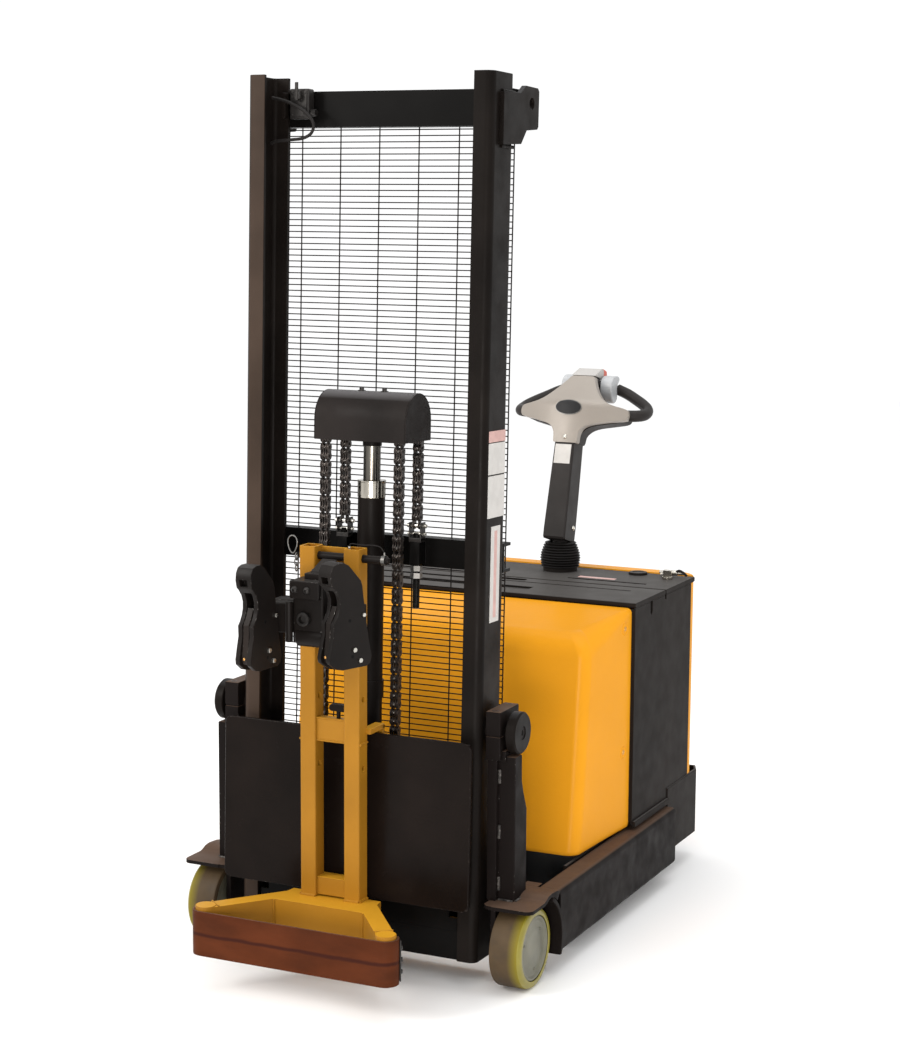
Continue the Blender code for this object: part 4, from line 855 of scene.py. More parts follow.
def drum_frame():
    """Two square tubes with their crossbars and hooks. It hangs plumb, so it is drawn on the truck's frame."""
    parts = []
    for side in SIDES:
        holes = [rod("X", (0, -111, z), radius, side * 20, side * 90, steps)
                 for z, radius, steps in ((PIN_Z, 9.0, 32), (634, 7.0, 24), (483, 7.0, 24))]
        tube = carved(prism(rounded_outline((side * 34.5, side * 72), (-131, -91), 3.5, 4), "Z", 190, 960),
                      prism(rounded_outline((side * 38.5, side * 68), (-127, -95), 1.5, 3), "Z", 952, 970), *holes)
        parts.append(soften(tube, 0.6, 1, 50.0))
        hooks = (((-100, -33.5), (556, 568)), ((-43, -33), (533, 567)))
        parts += [box((side * 60, side * 84), ys, zs, 2.0) for ys, zs in hooks]
        parts.append(weld((side * 73, -128, 538), (side * 73, -94, 538), 2.6, 538))
    parts += [box((-36, 36), (-124, -97), zs, 2.0) for zs in ((538, 587), (193, 233))]
    parts.append(box((-36, 36), (-98, -92.5), (905, 957), 1.2))
    parts.append(box((-60, 60), (-97, -73), (197, 228), 1.5))
    parts += [weld((-34, -124, z), (34, -124, z), 2.4, seed) for z, seed in ((538, 4), (587, 5))]
    for side in SIDES:
        parts.append(weld((side * 36, -131, 190.5), (side * 71, -131, 190.5), 3.4, 9 + side))
        parts.append(weld((side * 72.5, -129, 190.5), (side * 72.5, -93, 190.5), 3.4, 12 + side))
    piece("frame", merged(*parts), "frame", "carriage", TRUCK, ["drum_frame"])
    stem = rod("Z", (12, -111, 0), 4.5, 586, 606, 16, 0.5)
    head = soften(prism(rounded_outline((-8, 32), (603, 618), 6, 4), "Y", -118, -104), 2.0, 2)
    piece("clamp_handle", merged(stem, head), "black", "carriage")


def ellipse(steps, across, up):
    """Pairs (across * cosine, up * sine) round a full turn."""
    angles = [2.0 * math.pi * i / steps for i in range(steps)]
    return [(across * math.cos(angle), up * math.sin(angle)) for angle in angles]


def frame_pin():
    """The pin through the drum frame's top, its collar, its spring clip and the bent wire that tethers it."""
    y, z = -111.0, PIN_Z
    pin = [(-80, 0.0), (-80, 8.5), (128, 8.5), (133, 6.0), (133, 0.0)]
    piece("pin", turned(pin, "X", (0, y, z), 32), "cast", "carriage", TRUCK, ["frame_pin"])
    collar = merged(turned([(118, 8.4), (118, 11.5), (126, 11.5), (126, 8.4)], "X", (0, y, z), 24),
                    rod("Z", (122, y, 0), 2.2, z + 8, z + 17, 10))
    piece("pin_collar", collar, "steel", "carriage")
    ring = [(-97 + a * (1.0 + 0.25 * b / 19), y - 4, z + 20 + b) for a, b in ellipse(40, 11, 19)]
    solids = [pipe(ring, 1.5, 8, closed=True)]
    for i in range(3):
        turn = (1, 0) if i % 2 else (0, 1)
        loop = [(-88 + turn[0] * a, y - 4 + turn[1] * a, z - 6 - i * 12 + b) for a, b in ellipse(20, 4.4, 8.0)]
        solids.append(pipe(loop, 1.4, 6, closed=True))
    piece("pin_clip", merged(*solids), "steel", "carriage", angle=60.0)
    route = [(40, y - 2, 962), (41, y - 2, 968), (48, y - 2, 970), (70, y - 4, 969), (95, y - 2, 970), (112, y, 967),
             (121, y, 957)]
    piece("pin_wire", pipe(curved(route, 4), 1.3, 8), "rubber", "carriage", angle=60.0)
    piece("wire_anchor", rod("Z", (40, y - 2, 0), 3.0, 955, 964, 12, 0.5), "zinc", "carriage")


# ---------------------------------------------------------------- gripper

def gripper_block():
    """The block that carries the beaks, with its bar, bracket and bolts."""
    parts = [box(xs, ys, zs, rounding, segments) for xs, ys, zs, rounding, segments in (
        ((-38, 36), (-222, -132), (768, 898), 5.0, 3),
        ((-41, 30), (-231, -140), (864, 903), 3.5, 2),
        ((-20, 44), (-204, -140), (900, 916), 3.0, 2),
        ((-68, 68), (-160, -131.4), (772, 872), 3.0, 2),
        ((-94, 112), (-206, -171), (790, 856), 2.5, 2),
        ((-96, -34), (-234, -200), (790, 854), 4.0, 3),
    )]
    parts.append(rod("X", (0, -206, 782), 22.0, -30, 34, 32, 2.0))
    parts.append(soften(prism([(-150, 912), (-203, 912), (-200, 920), (-150, 940)], "X", -6, 30), 1.5))
    parts.append(rod("Z", (-40, -232, 0), 8.0, 772, 858, 24, 1.5))
    piece("block", merged(*parts), "cast", "carriage", TRUCK, ["gripper_block"])
    bolts = [dome_bolt((x, -231, 884), (0, -1, 0), 8.0, 6.5) for x in (-27, 2)]
    bolts += [socket_bolt((x, -180, 916), (0, 0, 1), 6.0, 5.0) for x in (-8, 30)]
    boss = turned([(-8, 0.0), (-8, 15.0), (10, 15.0), (12, 13.0), (12, 9.0), (3, 8.0), (3, 0.0)], "Z", segments=32)
    bolts.append(aimed(boss, (-8, -222, 822), (0, -1, 0)))
    piece("block_bolts", merged(*bolts), "dark_steel", "carriage")


def beak_frame(side):
    """The drawing frame of one beak: across it, back from its nose, and up. The jaw's hinge gives its place."""
    hinge = JOINTS[side_name("jaw_hinge", side)]
    axis = Vector(hinge["axis"])
    turn = Matrix.Rotation(math.atan2(axis.y, axis.x), 4, "Z")
    place = Matrix.Translation(Vector(hinge["pos_m"])) @ turn @ Matrix.Scale(MM, 4)
    return place @ Matrix.Translation((0.0, -46.0, -766.0))


def gripper_beaks():
    """Two beaks that grip a drum's rim, each with its hinged jaw. The outlines are (back, up)."""
    outline = [(112, 757), (108, 742), (98, 737), (30, 737), (14, 741), (-4, 754), (-6, 764), (0, 790), (6, 812),
               (5, 834), (12, 842), (19, 854), (23, 868), (23, 882), (18, 896), (8, 908), (1, 914), (-3, 930),
               (-1, 945), (6, 956), (18, 960), (34, 960), (48, 953), (82, 918), (86, 906), (88, 890), (94, 850),
               (104, 790)]
    finger_outline = [(46, 754), (6, 753), (0, 764), (6, 806), (7, 836), (17, 852), (25, 870), (33, 860), (36, 840),
                      (50, 776)]
    outward = (1, 0, 0)
    for side in SIDES:
        where = beak_frame(side)
        throat = box((-8.6, 8.6), (-20, 64), (720, 902))
        nose_slot = box((-10, 9), (-12, 16), (917, 932))
        solid = soften(carved(prism(outline, "X", -19.3, 19.3), throat, nose_slot), 1.6, 2, 40.0)
        rung = rod("X", (0, 18, 838), 6.5, -9, 9, 20)
        piece(side_name("beak", side), merged(solid, rung), "cast", "carriage", where,
              [side_name("gripper_beak", side)])
        bright = [hex_bolt((19.3, back, z), outward, across, height, False)
                  for back, z, across, height in ((62, 776, 9.5, 4.6), (78, 752, 9.5, 4.6), (88, 846, 8.0, 4.0))]
        piece(side_name("beak_bolts", side), merged(*bright), "zinc", "carriage", where)
        # Dark discs on the beak's face where its holes are: painted shade in the holes.
        pits = [aimed(rod("Z", (0, 0, 0), 3.6, -0.4, 0.4, 16), (19.3, back, z), outward)
                for back, z in ((50, 838), (58, 762))]
        piece(side_name("beak_holes", side), merged(*pits), "pit", "carriage", where)
        finger = soften(prism(finger_outline, "X", -7.0, 7.0), 1.4, 2, 25.0)
        knuckle = rod("X", (0, 46, 766), 13.6, -7.0, 7.0, 32, 1.0)
        jaw = side_name("jaw", side)
        piece(jaw, merged(finger, knuckle), "black_worn", jaw, where, [side_name("gripper_jaw", side)])
        stud = dome_bolt((-1, 0.5, 766), (0, -1, 0), 3.4, 2.4)
        piece(side_name("jaw_stud", side), stud, "brass", jaw, where)


# ---------------------------------------------------------------- cradle and belt

POST = Vector((217.0, -288.0))
POST_R = 23.0
CRADLE_Z = (86.0, 189.0)
CLAMP_TURN = math.radians(38)


def cradle():
    """The arms that carry the belt's posts, drawn as one outline with the middle bar."""
    root = Vector((96.0, -134.0))
    low, high = CRADLE_Z
    along = (POST - root).normalized()
    outward = Vector((-along.y, along.x)) * 20.0
    inner = root - outward + along * ((-183.0 - (root - outward).y) / along.y)
    half = [(108, -97), tuple(root + outward), tuple(POST + outward), tuple(POST - outward), tuple(inner)]
    top = soften(prism(half + mirrored(half)[::-1], "Z", low, high), 1.6, 2)
    posts = [rod("Z", (s * POST.x, POST.y, 0), POST_R - 0.4, low - 1.5, high + 1.5, 48, 1.2) for s in SIDES]
    a, b = POST + outward - along * 22, POST - outward - along * 22
    beads = []
    for s in SIDES:
        beads.append(weld((s * inner.x, inner.y - 1, low + 2), (s * inner.x, inner.y - 1, high - 1), 2.6, s))
        beads.append(weld((s * a.x, a.y, high + 0.2), (s * b.x, b.y, high + 0.2), 2.4, 20 + s))
    piece("drum_rest", merged(top, *posts, *beads), "frame", "carriage", TRUCK, ["cradle"])


def belt():
    """The belt round both posts, a dark sewn line along its middle and a bolted clamp on each end."""
    low, high = 84.0, 183.0
    inner = POST_R + 0.4
    outer = inner + 5.0

    def path(radius):
        return arc(POST.x, POST.y, radius, 48, -90, 18) + arc(-POST.x, POST.y, radius, 270, 132, 18)

    outside = path(outer)
    inside = path(inner)[::-1]
    band = soften(prism(outside + inside, "Z", low, high), 1.3, 2, 40.0)
    strap = piece("belt", band, "belt", "carriage", TRUCK, ["drum_belt"])
    strap.data.materials.append(LOOK["belt_edge"])
    for face in strap.data.polygons:
        if abs(face.normal.z) > 0.6:
            face.material_index = 1
    for side in SIDES:
        out = Vector((side * math.cos(CLAMP_TURN), math.sin(CLAMP_TURN), 0))
        middle = Vector((side * POST.x, POST.y, 0)) + out * (outer + 1.2)
        across = Vector((-out.y, out.x, 0))
        turn = Matrix((across, out, Vector((0, 0, 1)))).transposed().to_4x4()
        clamp = moved(box((-10, 10), (-1.6, 1.6), (low + 5, high - 5), 1.0), Matrix.Translation(middle) @ turn)
        places = [middle + out * 1.4 + Vector((0, 0, z)) for z in (108, 134, 160)]
        bolts = [hex_bolt(tuple(place), tuple(out), 9.0, 4.5, False) for place in places]
        piece(side_name("belt_clamp", side), merged(clamp, *bolts), "dark_steel", "carriage")


# ---------------------------------------------------------------- running gear

AXLE_Y, AXLE_Z = 35.5, 89.5
WHEEL_R = 89.3


def load_wheels():
    """Front wheels: tread, coloured core, seal and hub, turned about the stub axle."""
    centre = (0.0, AXLE_Y, AXLE_Z)
    r = WHEEL_R
    tread = [(343, 76), (343, r - 5), (344.5, r - 1.6), (348, r), (404, r), (409, r - 1.0), (409, 76)]
    rim = [(408.9, r - 1.0), (412.5, r - 3.0), (415.4, r - 7.5), (416, r - 13), (415.5, r - 17), (412, 71.5),
           (408, 71.5)]
    seal = [(411.5, 74.0), (413.6, 73.6), (414.2, 71.6), (411.5, 70.4)]
    hub = [(410, 71.8), (413.0, 71.0), (414.5, 68.5), (414.0, 65.5), (409.5, 62.0), (408.6, 58.0), (409.2, 48.0),
           (411.0, 42.0), (412.5, 36.0), (412.8, 20.0), (413.2, 12.0), (413.2, 0.0), (405, 0.0), (405, 71.8)]
    back = [(343.5, 76), (347, 70), (350, 50), (347, 30), (346, 14.6), (352, 14.6), (352, 76)]
    for side in SIDES:
        body = side_name("load_wheel", side)
        piece(side_name("tyre", side), turned_out(tread, side, centre), "tread", body, TRUCK, [body])
        piece(side_name("tyre_rim", side), turned_out(rim, side, centre), "core", body)
        piece(side_name("hub_seal", side), turned_out(seal, side, centre), "rubber", body)
        studs = []
        for k in range(3):
            angle = math.radians(40 + 120 * k)
            spot = (side * 409.4, AXLE_Y + 50 * math.cos(angle), AXLE_Z + 50 * math.sin(angle))
            studs.append(dome_bolt(spot, (side, 0, 0), 3.4, 2.4))
        discs = [turned_out(profile, side, centre) for profile in (hub, back)]
        piece(side_name("hub", side), merged(*discs, *studs), "hub", body)


def fender(side, xs):
    """The bent plate over a load wheel, with rounded front corners."""
    under = [(-34, 184), (42, 184), (54, 187), (66, 192), (80, 194), (100, 187), (112, 178)]
    over = [(118, 184), (128, 196), (110, 200), (78, 202), (62, 200), (50, 195), (40, 192), (-34, 192)]
    corner = [(440, -40), (440, -14)] + arc(417, -17, 17, 10, -80, 6) + [(412, -40)]
    inner_corner = [(310, -40), (310, -10)] + arc(336, -12, 20, 190, 280, 6) + [(345, -40)]
    cutters = [prism([(side * a, b) for a, b in outline], "Z", 150, 230) for outline in (corner, inner_corner)]
    return soften(carved(prism(under + over, "X", *xs(318, 434)), *cutters), 1.6, 2, 40.0)


def straddle_arms():
    """Side arms: the long beam, the bent fender over the wheel, the trunnion post and its bearing."""
    for side in SIDES:
        def xs(low, high):
            return (side * low, side * high)

        def bore():
            return rod("X", TRUNNION, 25.4, *xs(290, 349), 48)

        beam = soften(prism(rounded_outline(xs(369, 429), (45.5, 190), 13, 6), "Y", 143, 892), 2.0, 2, 50.0)
        lining = box(xs(332, 369), (150, 181), (46, 188), 1.5)
        arch = arc(AXLE_Y, AXLE_Z, 105.5, -24, 62, 16) + arc(AXLE_Y, AXLE_Z, 115.5, 62, -22, 16)
        mudguard = soften(prism([(a, max(b, 45.5)) for a, b in arch], "X", *xs(340, 434)), 2.0, 2, 40.0)
        cheek = box(xs(326, 338), (-5, 150), (50, 188), 1.5)
        axle = rod("X", (0, AXLE_Y, AXLE_Z), 13.6, *xs(330, 397), 32, 1.0)
        post = prism([(20, 188), (20, 511), (56, 511), (57, 452), (66, 425), (84, 385), (84, 188)], "X", *xs(317, 371))
        foot = prism([(6, 192), (6, 506), (88, 506), (88, 192)], "X", *xs(311, 333))
        saddle = box(xs(331, 350), (14, 78), (500, 524), 2.0)
        halves = [carved(box(xs(307, 342), (3, 102), zs, 3.0, 2), bore()) for zs in ((504, 555.4), (556.6, 610.5))]
        seam = carved(box(xs(309, 340), (5, 100), (555, 557), 0.4, 1), bore())
        whole = merged(beam, lining, mudguard, fender(side, xs), cheek, axle, soften(post, 2.5, 2), soften(foot, 2.0),
                       saddle, *halves, seam)
        piece(side_name("arm", side), whole, "arm", "chassis", TRUCK, [side_name("straddle_arm", side)])
        beads = [weld((side * 334, 18.5, z), (side * 334, 18.5, z + 30), 4.6, z) for z in (452, 330, 214)]
        beads += [weld((side * 320, 18, 192), (side * 368, 18, 192), 3.6, 3),
                  weld((side * 372, 22, 192), (side * 372, 80, 192), 3.6, 4),
                  weld((side * 316, 88, 195), (side * 370, 88, 195), 3.0, 195)]
        piece(side_name("arm_welds", side), merged(*beads), "bead")
        bolts = [socket_bolt((side * 325, y, 609.5), (0, 0, 1), 7.5, 1.4) for y in (16, 89)]
        piece(side_name("bearing_bolts", side), merged(*bolts), "dark_steel")


# ---------------------------------------------------------------- body

def between(value, table):
    """The value that a table of (place, value) pairs gives at a place."""
    for (a, low), (b, high) in zip(table, table[1:]):
        if value <= b:
            share = min(1.0, max(0.0, (value - a) / (b - a)))
            return low + (high - low) * share
    return table[-1][1]


COWL_REAR = 647.0
COWL_TOP = 700.0
COWL_HALF = 378.0
COWL_CORNER = 30.0
COWL_FRONT = [(198, 356.5), (225, 361.0), (280, 370.0), (COWL_TOP, 416.5)]  # height, place of the front
COWL_ROLL = [(430.0, 60.0), (560.0, 30.0), (COWL_REAR, 12.0)]  # distance back, radius of the top edge
STEER_AXIS = (57, 1010, 0)


def cowl_ring(solid, z, inset, turn=None):
    """One level of the cowl in plan, or, given a turn in radians, one level of the roll over into its top."""
    front = between(z if turn is None else COWL_TOP - 60.0, COWL_FRONT)

    def place(share, corner_angle=None):
        """The point at a distance back, on the side wall or on the front corner."""
        radius = between(share, COWL_ROLL)
        rise = 34.0 * max(0.0, share - 400.0) / 247.0
        if turn is None:
            pull = inset
            height = z + (0.0 if z < 610 else rise * (z - 610) / 90)
        else:
            pull = radius * (1.0 - math.cos(turn))
            height = COWL_TOP + rise - radius + radius * math.sin(turn)
        half = COWL_HALF - pull
        if corner_angle is None:
            return (half + max(0.0, share - 430.0) * 15.0 / 217.0, share, height)
        return (half - COWL_CORNER + COWL_CORNER * math.cos(corner_angle),
                front + pull + COWL_CORNER + COWL_CORNER * math.sin(corner_angle), height)

    points = [place(share) for share in (COWL_REAR, 600.0, 560.0, 525.0)]
    points += [place(front + COWL_CORNER, -math.radians(9.0 * i)) for i in range(11)]
    _, b, height = points[-1]
    points += [(COWL_HALF * 0.5, b, height), (0.0, b, height)]
    points += [(-x, y, level) for x, y, level in points[-2::-1]]
    return [solid.verts.new(point) for point in points]


def cowl():
    """The front cowl: walls that lean back and roll over into a top that rises to the rear."""
    solid = bmesh.new()
    rings = [cowl_ring(solid, z, inset) for z, inset in ((198, 5), (200, 2.5), (204, 1), (210, 0))]
    rings += [cowl_ring(solid, z, 0) for z in (260, 320, 400, 480, 560, 610, 640)]
    rings += [cowl_ring(solid, COWL_TOP, 0, math.radians(9.0 * i)) for i in range(11)]
    for ring, other in zip(rings, rings[1:]):
        for i in range(len(ring) - 1):
            solid.faces.new((ring[i], ring[i + 1], other[i + 1], other[i]))
    solid.faces.new(rings[0][::-1])
    solid.faces.new(rings[-1])
    solid.faces.new([ring[0] for ring in rings] + [ring[-1] for ring in reversed(rings)])
    piece("cowl", solid, "cowl", "chassis", TRUCK, ["front_cowl"], 50.0)
    profile = [(-3, 0.0), (-3, 6.0), (-0.5, 11.0), (0.9, 12.5), (1.4, 14.0), (0.6, 15.6), (-1.2, 16.5), (-3, 16.5)]
    screws = []
    cups = []
    for side in SIDES:
        for z in (690, 391):
            cups.append(aimed(turned(profile, "Z", segments=32), (side * 390.6, 612, z), (side, -0.06, 0)))
            screws.append(dome_bolt((side * 390.3, 612, z), (side, -0.06, 0), 5.5, 2.8))
    piece("cowl_cups", merged(*cups), "cowl")
    piece("cowl_screws", merged(*screws), "brass")


def side_covers():
    """Both side panels with their slots, trim strip and inner returns."""
    for side in SIDES:
        outline = [(648, 204), (888, 204), (888, 237), (1046, 237), (1046, 733.5), (648, 733.5)]
        panel = prism(outline, "X", side * 396.5, side * 402)
        slot = prism([(752, 760), (766, 760), (766, 708), (759, 700), (752, 708)], "X", side * 390, side * 410)
        notch = prism([(850, 760), (866, 760), (862, 722), (854, 722)], "X", side * 390, side * 410)
        panel = soften(carved(panel, slot, notch), 0.9, 2, 40.0)
        strip = prism(rounded_outline((side * 401, side * 410), (197, 213), 3.5, 4), "Y", 650, 888)
        returned = box((side * 378, side * 400), (648.4, 652), (212, 731), 0.6, 1)
        backing = box((side * 392, side * 396), (740, 880), (690, 732), 0.5, 1)
        whole = merged(panel, soften(strip, 1.0, 2, 50.0), returned, backing)
        piece(side_name("side_panel", side), whole, "cover", "chassis", TRUCK, [side_name("side_cover", side)])


def top_covers():
    top = 746.0
    low = top - 12
    front = prism(rounded_outline((649, 856), (low, top), 4.0, 4), "X", -402, 402)
    cuts = [box((-262, 96), (702, 744), (top - 5, top + 6)), box((-330, 330), (800, 806), (top - 3, top + 6))]
    oval = prism(rounded_outline((-70, 40), (820, 842), 10.8, 8), "Z", top - 6, top + 6)
    front = soften(carved(front, *cuts, oval), 0.8, 1, 50.0)
    piece("front_lid", front, "cover", "chassis", TRUCK, ["front_top_cover"])
    rear = prism(rounded_outline((861, 1071.5), (low, top), 4.0, 4), "X", -402, 402)
    cuts = [rod("Z", STEER_AXIS, 34, 700, 800, 40), box((120, 330), (905, 915), (top - 4, top + 6)),
            prism(rounded_outline((-300, -120), (958, 975), 4, 4), "Z", top - 3, top + 6)]
    rear = soften(carved(rear, *cuts), 0.8, 1, 50.0)
    piece("rear_lid", rear, "cover", "chassis", TRUCK, ["rear_top_cover"])
    # A dark block in the gap between the lids: painted shade.
    gap = box((-400, 400), (856.2, 860.8), (low + 1, top - 5), 0.5, 1)
    strip = box((138, 237), (931, 949), (top - 0.2, top + 0.6), 0.2, 1)
    profile = [(-1, 0.0), (-1, 24.0), (4.5, 24.0), (6.5, 22.0), (6.5, 15.0), (5.0, 13.0), (5.0, 0.0)]
    cap = turned([(top + along, radius) for along, radius in profile], "Z", (260, 1040, 0))
    extras = (("lid_gap", gap, "pit"), ("lid_strip", strip, "label_band"), ("filler_cap", cap, "cover"))
    for name, solid, look in extras:
        piece(name, solid, look)


def rear_cover():
    """The yellow shell at the rear, rounded at its corners and along its top."""
    half = 401.5
    corner = 66
    plan = [(-half, 1046.5), (-half, 1052), *arc(-half + corner, 1052, corner, 180, 90, 12),
            *arc(half - corner, 1052, corner, 90, 0, 12), (half, 1046.5)]
    shell = prism(plan, "Z", 237.0, 748.5)
    chosen = [e for e in shell.edges if min(v.co.z for v in e.verts) > 740 and max(v.co.y for v in e.verts) > 1047.5]
    bmesh.ops.bevel(shell, geom=chosen, offset=16, segments=6, profile=0.5, affect="EDGES", clamp_overlap=True)
    step = box((-430, 430), (1000, 1072.4), (733.2, 800))
    hollow = prism([(-390, 1000), (390, 1000), (390, 1050), (335, 1104), (-335, 1104), (-390, 1050)], "Z", 200, 732)
    piece("rear_shell", carved(shell, step, hollow), "cowl", "chassis", TRUCK, ["rear_cover"], 40.0)


def skirt_plan(inset):
    """The skirt in plan, drawn in by an inset."""
    half = 405.0 - inset
    rear = 1145.0 - inset
    side = [(half, 892.6), (half, 1108), (390 - 0.6 * inset, rear)]
    return side + mirrored(side)[::-1]


def base_frame():
    """Floor pan, front beam, bulkhead, drive deck, tilt lugs and the skirt round the drive unit."""
    skirt = soften(prism(skirt_plan(0), "Z", 68, 236), 3.0, 3)
    skirt = carved(skirt, prism(skirt_plan(6), "Z", 60, 240), box((-390, 390), (880, 904), (60, 240)))
    deck = carved(prism([(-380, 904), (380, 904), (380, 1050), (326, 1100), (-326, 1100), (-380, 1050)], "Z", 245, 252),
                  rod("Z", STEER_AXIS, 72.0, 200, 300, 48))
    parts = [skirt, deck, box((-366, 366), (843, 912), (244, 251), 0.8, 1),
             box((-367, 367), (841, 849), (61, 250), 0.8, 1)]
    parts += [box((-368, 368), (320, 850), (60, 68), 1.0, 1), box((-367, 367), (321, 332), (61, 90), 1.0, 1)]
    lug = [(413, 66), (485, 66), (468, 128), (448, 152), (413, 152)]
    for side in SIDES:
        parts.append(box((side * 360, side * 368), (322, 846), (62, 188), 1.0, 1))
        parts.append(soften(prism(lug, "X", side * 20, side * 30), 1.5))
        parts.append(box((side * 370, side * 398), (893, 905), (205, 250), 1.0, 1))
    parts.append(rod("X", (0, 425, 128), 9.0, -34, 34, 32, 1.0))
    piece("base", merged(*parts), "cover", "chassis", TRUCK, ["chassis_frame"])


def inner_parts():
    """What the covers hide: the base, the drive, the battery, the pump and the tilt cylinder."""
    base_frame()
    keep_node("battery_pack", "battery", 2.0)
    keep_node("pump_unit", "steel", 1.5)
    keep_node("drive_unit", "dark_steel", 1.0)
    profile = [(-37, 0.0), (-37, 96), (-36, 110), (-31, 114.6), (31, 114.6), (36, 110), (37, 96), (37, 18.5),
               (-22, 18.5), (-22, 0.0)]
    wheel = turned(profile, "X", (57, 1010, 115), 96)
    piece("drive_tyre", wheel, "tread", "drive_wheel", TRUCK, ["drive_wheel"])
    keep_node("tilt_barrel", "black", 0.8)
    keep_node("tilt_rod", "chrome", 0.8)


# ---------------------------------------------------------------- tiller

def bellows():
    """The boot round the tiller's joint: a flat collar and a stack of folds that grow narrower."""
    folds = 10
    low, high = 755.0, 821.0
    step = (high - low) / folds
    fold = ((0.08, 7.5), (0.38, 1.2), (0.55, 0), (0.72, 1.2), (1.0, 7.5))
    widths = [(0, 50.0), (3, 52.0), (5, 50.5), (8, 44.0), (folds, 38.0)]
    outline = []
    for i in range(folds):
        z = low + (high - low) * i / folds
        size = between(i, widths)
        outline += [(z + step * up, size - back) for up, back in fold]
    outline += [(high, 31.0), (high, 28.0), (low, 28.0)]
    collar = turned([(746.2, 34.0), (746.2, 44.0), (754.0, 44.0), (756.0, 43.0), (756.0, 34.0)], "Z", STEER_AXIS, 64)
    piece("boot_collar", collar, "cover", "steering")
    bend = ("steering", "tiller", (57, 1010, 750), (57, 1010, 821))
    piece("boot", turned(outline, "Z", STEER_AXIS), "rubber", bend, TRUCK, ["bellows"], 70.0)


def tiller_arm():
    """Drawn upright above the tiller's pivot: across, back, and up the arm."""
    solid = bmesh.new()
    stations = [(31, 30, -56, 12), (36, 30.5, -60, 14), (60, 30.5, -60.5, 14), (160, 29, -60.8, 11),
                (283.5, 27, -61, 6)]
    rings = []
    for z, half, front, back in stations:
        rings.append([solid.verts.new((x, y, z)) for x, y in rounded_outline((-half, half), (front, back), 5, 4)])
    solid.faces.new(rings[0][::-1])
    solid.faces.new(rings[-1])
    for ring, other in zip(rings, rings[1:]):
        for i in range(len(ring)):
            j = (i + 1) % len(ring)
            solid.faces.new((ring[i], ring[j], other[j], other[i]))
    keel = carved(rod("X", (0, 0, 0), 17.0, -19.3, 19.3, 32, 1.0), rod("X", (0, 0, 0), 7.5, -30, 30, 24))
    neck = box((-19.3, 19.3), (-16, 12), (0, 36), 2.0)
    piece("arm_tube", merged(solid, keel, neck), "charcoal", "tiller", TILLER, ["tiller_arm"])
    label = box((-23, 21), (-61.7, -60.5), (225, 275), 0.3, 1)
    piece("arm_label", label, "label", "tiller", TILLER)
    piece("arm_bolt", dome_bolt((30.4, -8, 66), (1, 0, 0), 6.5, 4.0), "zinc", "tiller", TILLER)


HEAD_BEND = 385.0
HEAD_LEAN = 0.9


def head_sweep(x, z):
    """How far back the tiller head's front is at a place, from its middle and its bend."""
    return 42.0 * (min(abs(x), 190.0) / 144.0) ** 2 + HEAD_LEAN * max(0.0, z - HEAD_BEND)


def in_strips(solid, xs, zs):
    """A plate cut into strips at places across and up, so that it can bend."""
    for point, normal in [((x, 0, 0), (1, 0, 0)) for x in xs] + [((0, 0, z), (0, 0, 1)) for z in zs]:
        geometry = list(solid.verts) + list(solid.edges) + list(solid.faces)
        bmesh.ops.bisect_plane(solid, geom=geometry, plane_co=point, plane_no=normal, dist=1e-4)
    return solid


def bent(solid):
    """A plate bent to the head's sweep."""
    for vert in solid.verts:
        vert.co.y += head_sweep(vert.co.x, vert.co.z)
    return solid


def head_panel(half, front, back, rounding):
    """A plate across the head that follows the sweep."""
    solid = prism(smooth_outline(half + mirrored(half)[::-1]), "Y", front, back)
    return bent(soften(in_strips(solid, range(-180, 181, 12), range(290, 500, 12)), rounding, 3, 50.0))


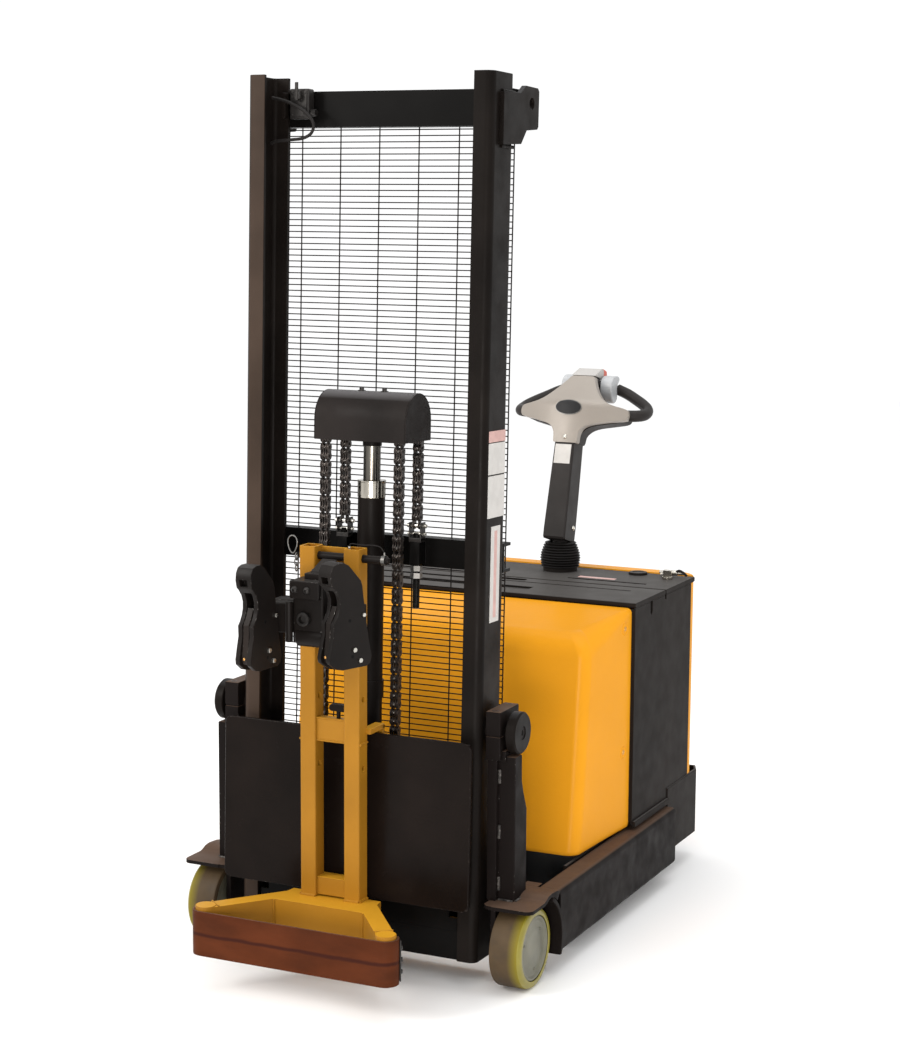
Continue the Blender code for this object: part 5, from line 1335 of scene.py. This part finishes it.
def tiller_head():
    """The head: its silver face, the charcoal shell with both grip loops, the pale cap and the blank badge."""
    half = [(12, 280), (26, 280), (31.5, 281.5), (33, 287), (33.4, 298), (36, 310), (44, 322), (62, 331), (100, 341),
            (138, 350), (147, 356), (150, 366), (146, 377), (136, 381), (114, 385), (94, 392), (76, 404), (60, 422),
            (46, 442), (37, 457), (33, 465), (28, 468.5), (12, 469)]
    piece("face", head_panel(half, -62, -40, 4.0), "silver", "tiller", TILLER, ["head_face"], 50.0)
    half = [(12, 283), (27, 283.5), (31, 290), (34, 306), (46, 320), (66, 330), (104, 340), (130, 348), (138, 356),
            (139, 367), (136, 376), (112, 383), (84, 392), (58, 404), (42, 420), (36, 444), (32, 466)]
    shell = head_panel(half, -39.8, 6, 5.0)
    hub = prism([(10, 400), (6, 420), (24, 458), (40, 468), (104, 468), (106, 440), (84, 410), (40, 396)], "X", -36, 36)
    route = [(118, 3, 366), (144, 6, 367), (163, 16, 370), (172, 34, 376), (173, 54, 386), (166, 70, 398),
             (148, 83, 412), (124, 91, 426), (98, 96, 440), (68, 98, 452)]
    loops = []
    for side in SIDES:
        path = curved([(side * a, b, c) for a, b, c in route], 5)
        loops.append(pipe(path, [15.0 - 0.8 * i / len(path) for i in range(len(path))], 20))
    piece("head_shell", merged(shell, soften(hub, 6.0, 3), *loops), "charcoal", "tiller", TILLER, ["tiller_head"],
          50.0)
    cap = soften(prism([(15, 470.5), (20, 474), (60, 498), (72, 498), (76, 488), (76, 471)], "X", -33, 33), 4.0, 3)
    piece("head_cap", cap, "pale", "tiller", TILLER)
    for name, look, across, up, depth in (("badge_rim", "steel", 36.4, 20.4, 1.6), ("badge", "badge", 34.5, 18.5, 2.4)):
        plate = prism([(a, 372 + b) for a, b in ellipse(48, across, up)], "Y", -62 - depth, -60)
        plate = bent(in_strips(plate, range(-30, 31, 6), (360, 374, HEAD_BEND, 391)))
        piece(name, plate, look, "tiller", TILLER)
    piece("face_screw", dome_bolt((0, -62, 295), (0, -1, 0), 6.0, 3.0), "zinc", "tiller", TILLER)


def controls():
    """The twist grips with their wings, the reverse pad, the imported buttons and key, and the charging plug."""
    centre = TILLER.inverted() @ Vector(JOINTS["throttle_twist"]["pos_m"])
    outline = [(-14, -38), (0, -41), (14, -30), (14, -14), (8, 0), (12, 12), (19, 22), (12, 30), (-6, 28), (-24, 20),
               (-33, 2), (-28, -20)]
    shape = smooth_outline([(centre.y - 3.0 + a * 1.06, centre.z + 5.0 + b * 1.04) for a, b in outline], 3)
    wings = [soften(prism(shape, "X", side * 38, side * 71), 5.0, 3) for side in SIDES]
    grips = merged(rod("X", centre, 5.8, -69, 69, 20), *wings)
    piece("twist_grip", grips, "throttle", "throttle", TILLER, ["throttle"], 50.0)
    button = soften(prism([(69, 476), (103, 476), (104, 488), (99, 500), (74, 501), (68, 492)], "X", -32, 32), 4.5, 3)
    piece("reverse_pad", button, "red", "reverse_button", TILLER, ["reverse_button"], 50.0)
    keep_node("lift_button", "throttle", 0.6)
    keep_node("lower_button", "throttle", 0.6)
    keep_node("key_switch", "chrome", 0.5)
    plug = merged(box((322, 352), (1032, 1050), (746, 756), 2.5, 2), rod("X", (0, 1041, 757), 7.0, 330, 366, 20, 1.0),
                  rod("X", (0, 1041, 757), 4.5, 318, 384, 16, 1.0))
    piece("charge_plug", plug, "zinc")
    handle = pipe(curved([(360, 1040, 757), (372, 1036, 764), (384, 1034, 760), (392, 1038, 752)], 5), 3.4, 10)
    piece("plug_handle", handle, "rubber", angle=60.0)


def main():
    stand_camera()
    light_studio()
    floor()
    mast_rails()
    mast_labels()
    mesh_guard()
    lift_cylinder()
    limit_switch()
    chains()
    crosshead()
    carriage()
    drum_frame()
    frame_pin()
    gripper_block()
    gripper_beaks()
    cradle()
    belt()
    load_wheels()
    straddle_arms()
    cowl()
    side_covers()
    top_covers()
    rear_cover()
    inner_parts()
    bellows()
    tiller_arm()
    tiller_head()
    controls()


main()
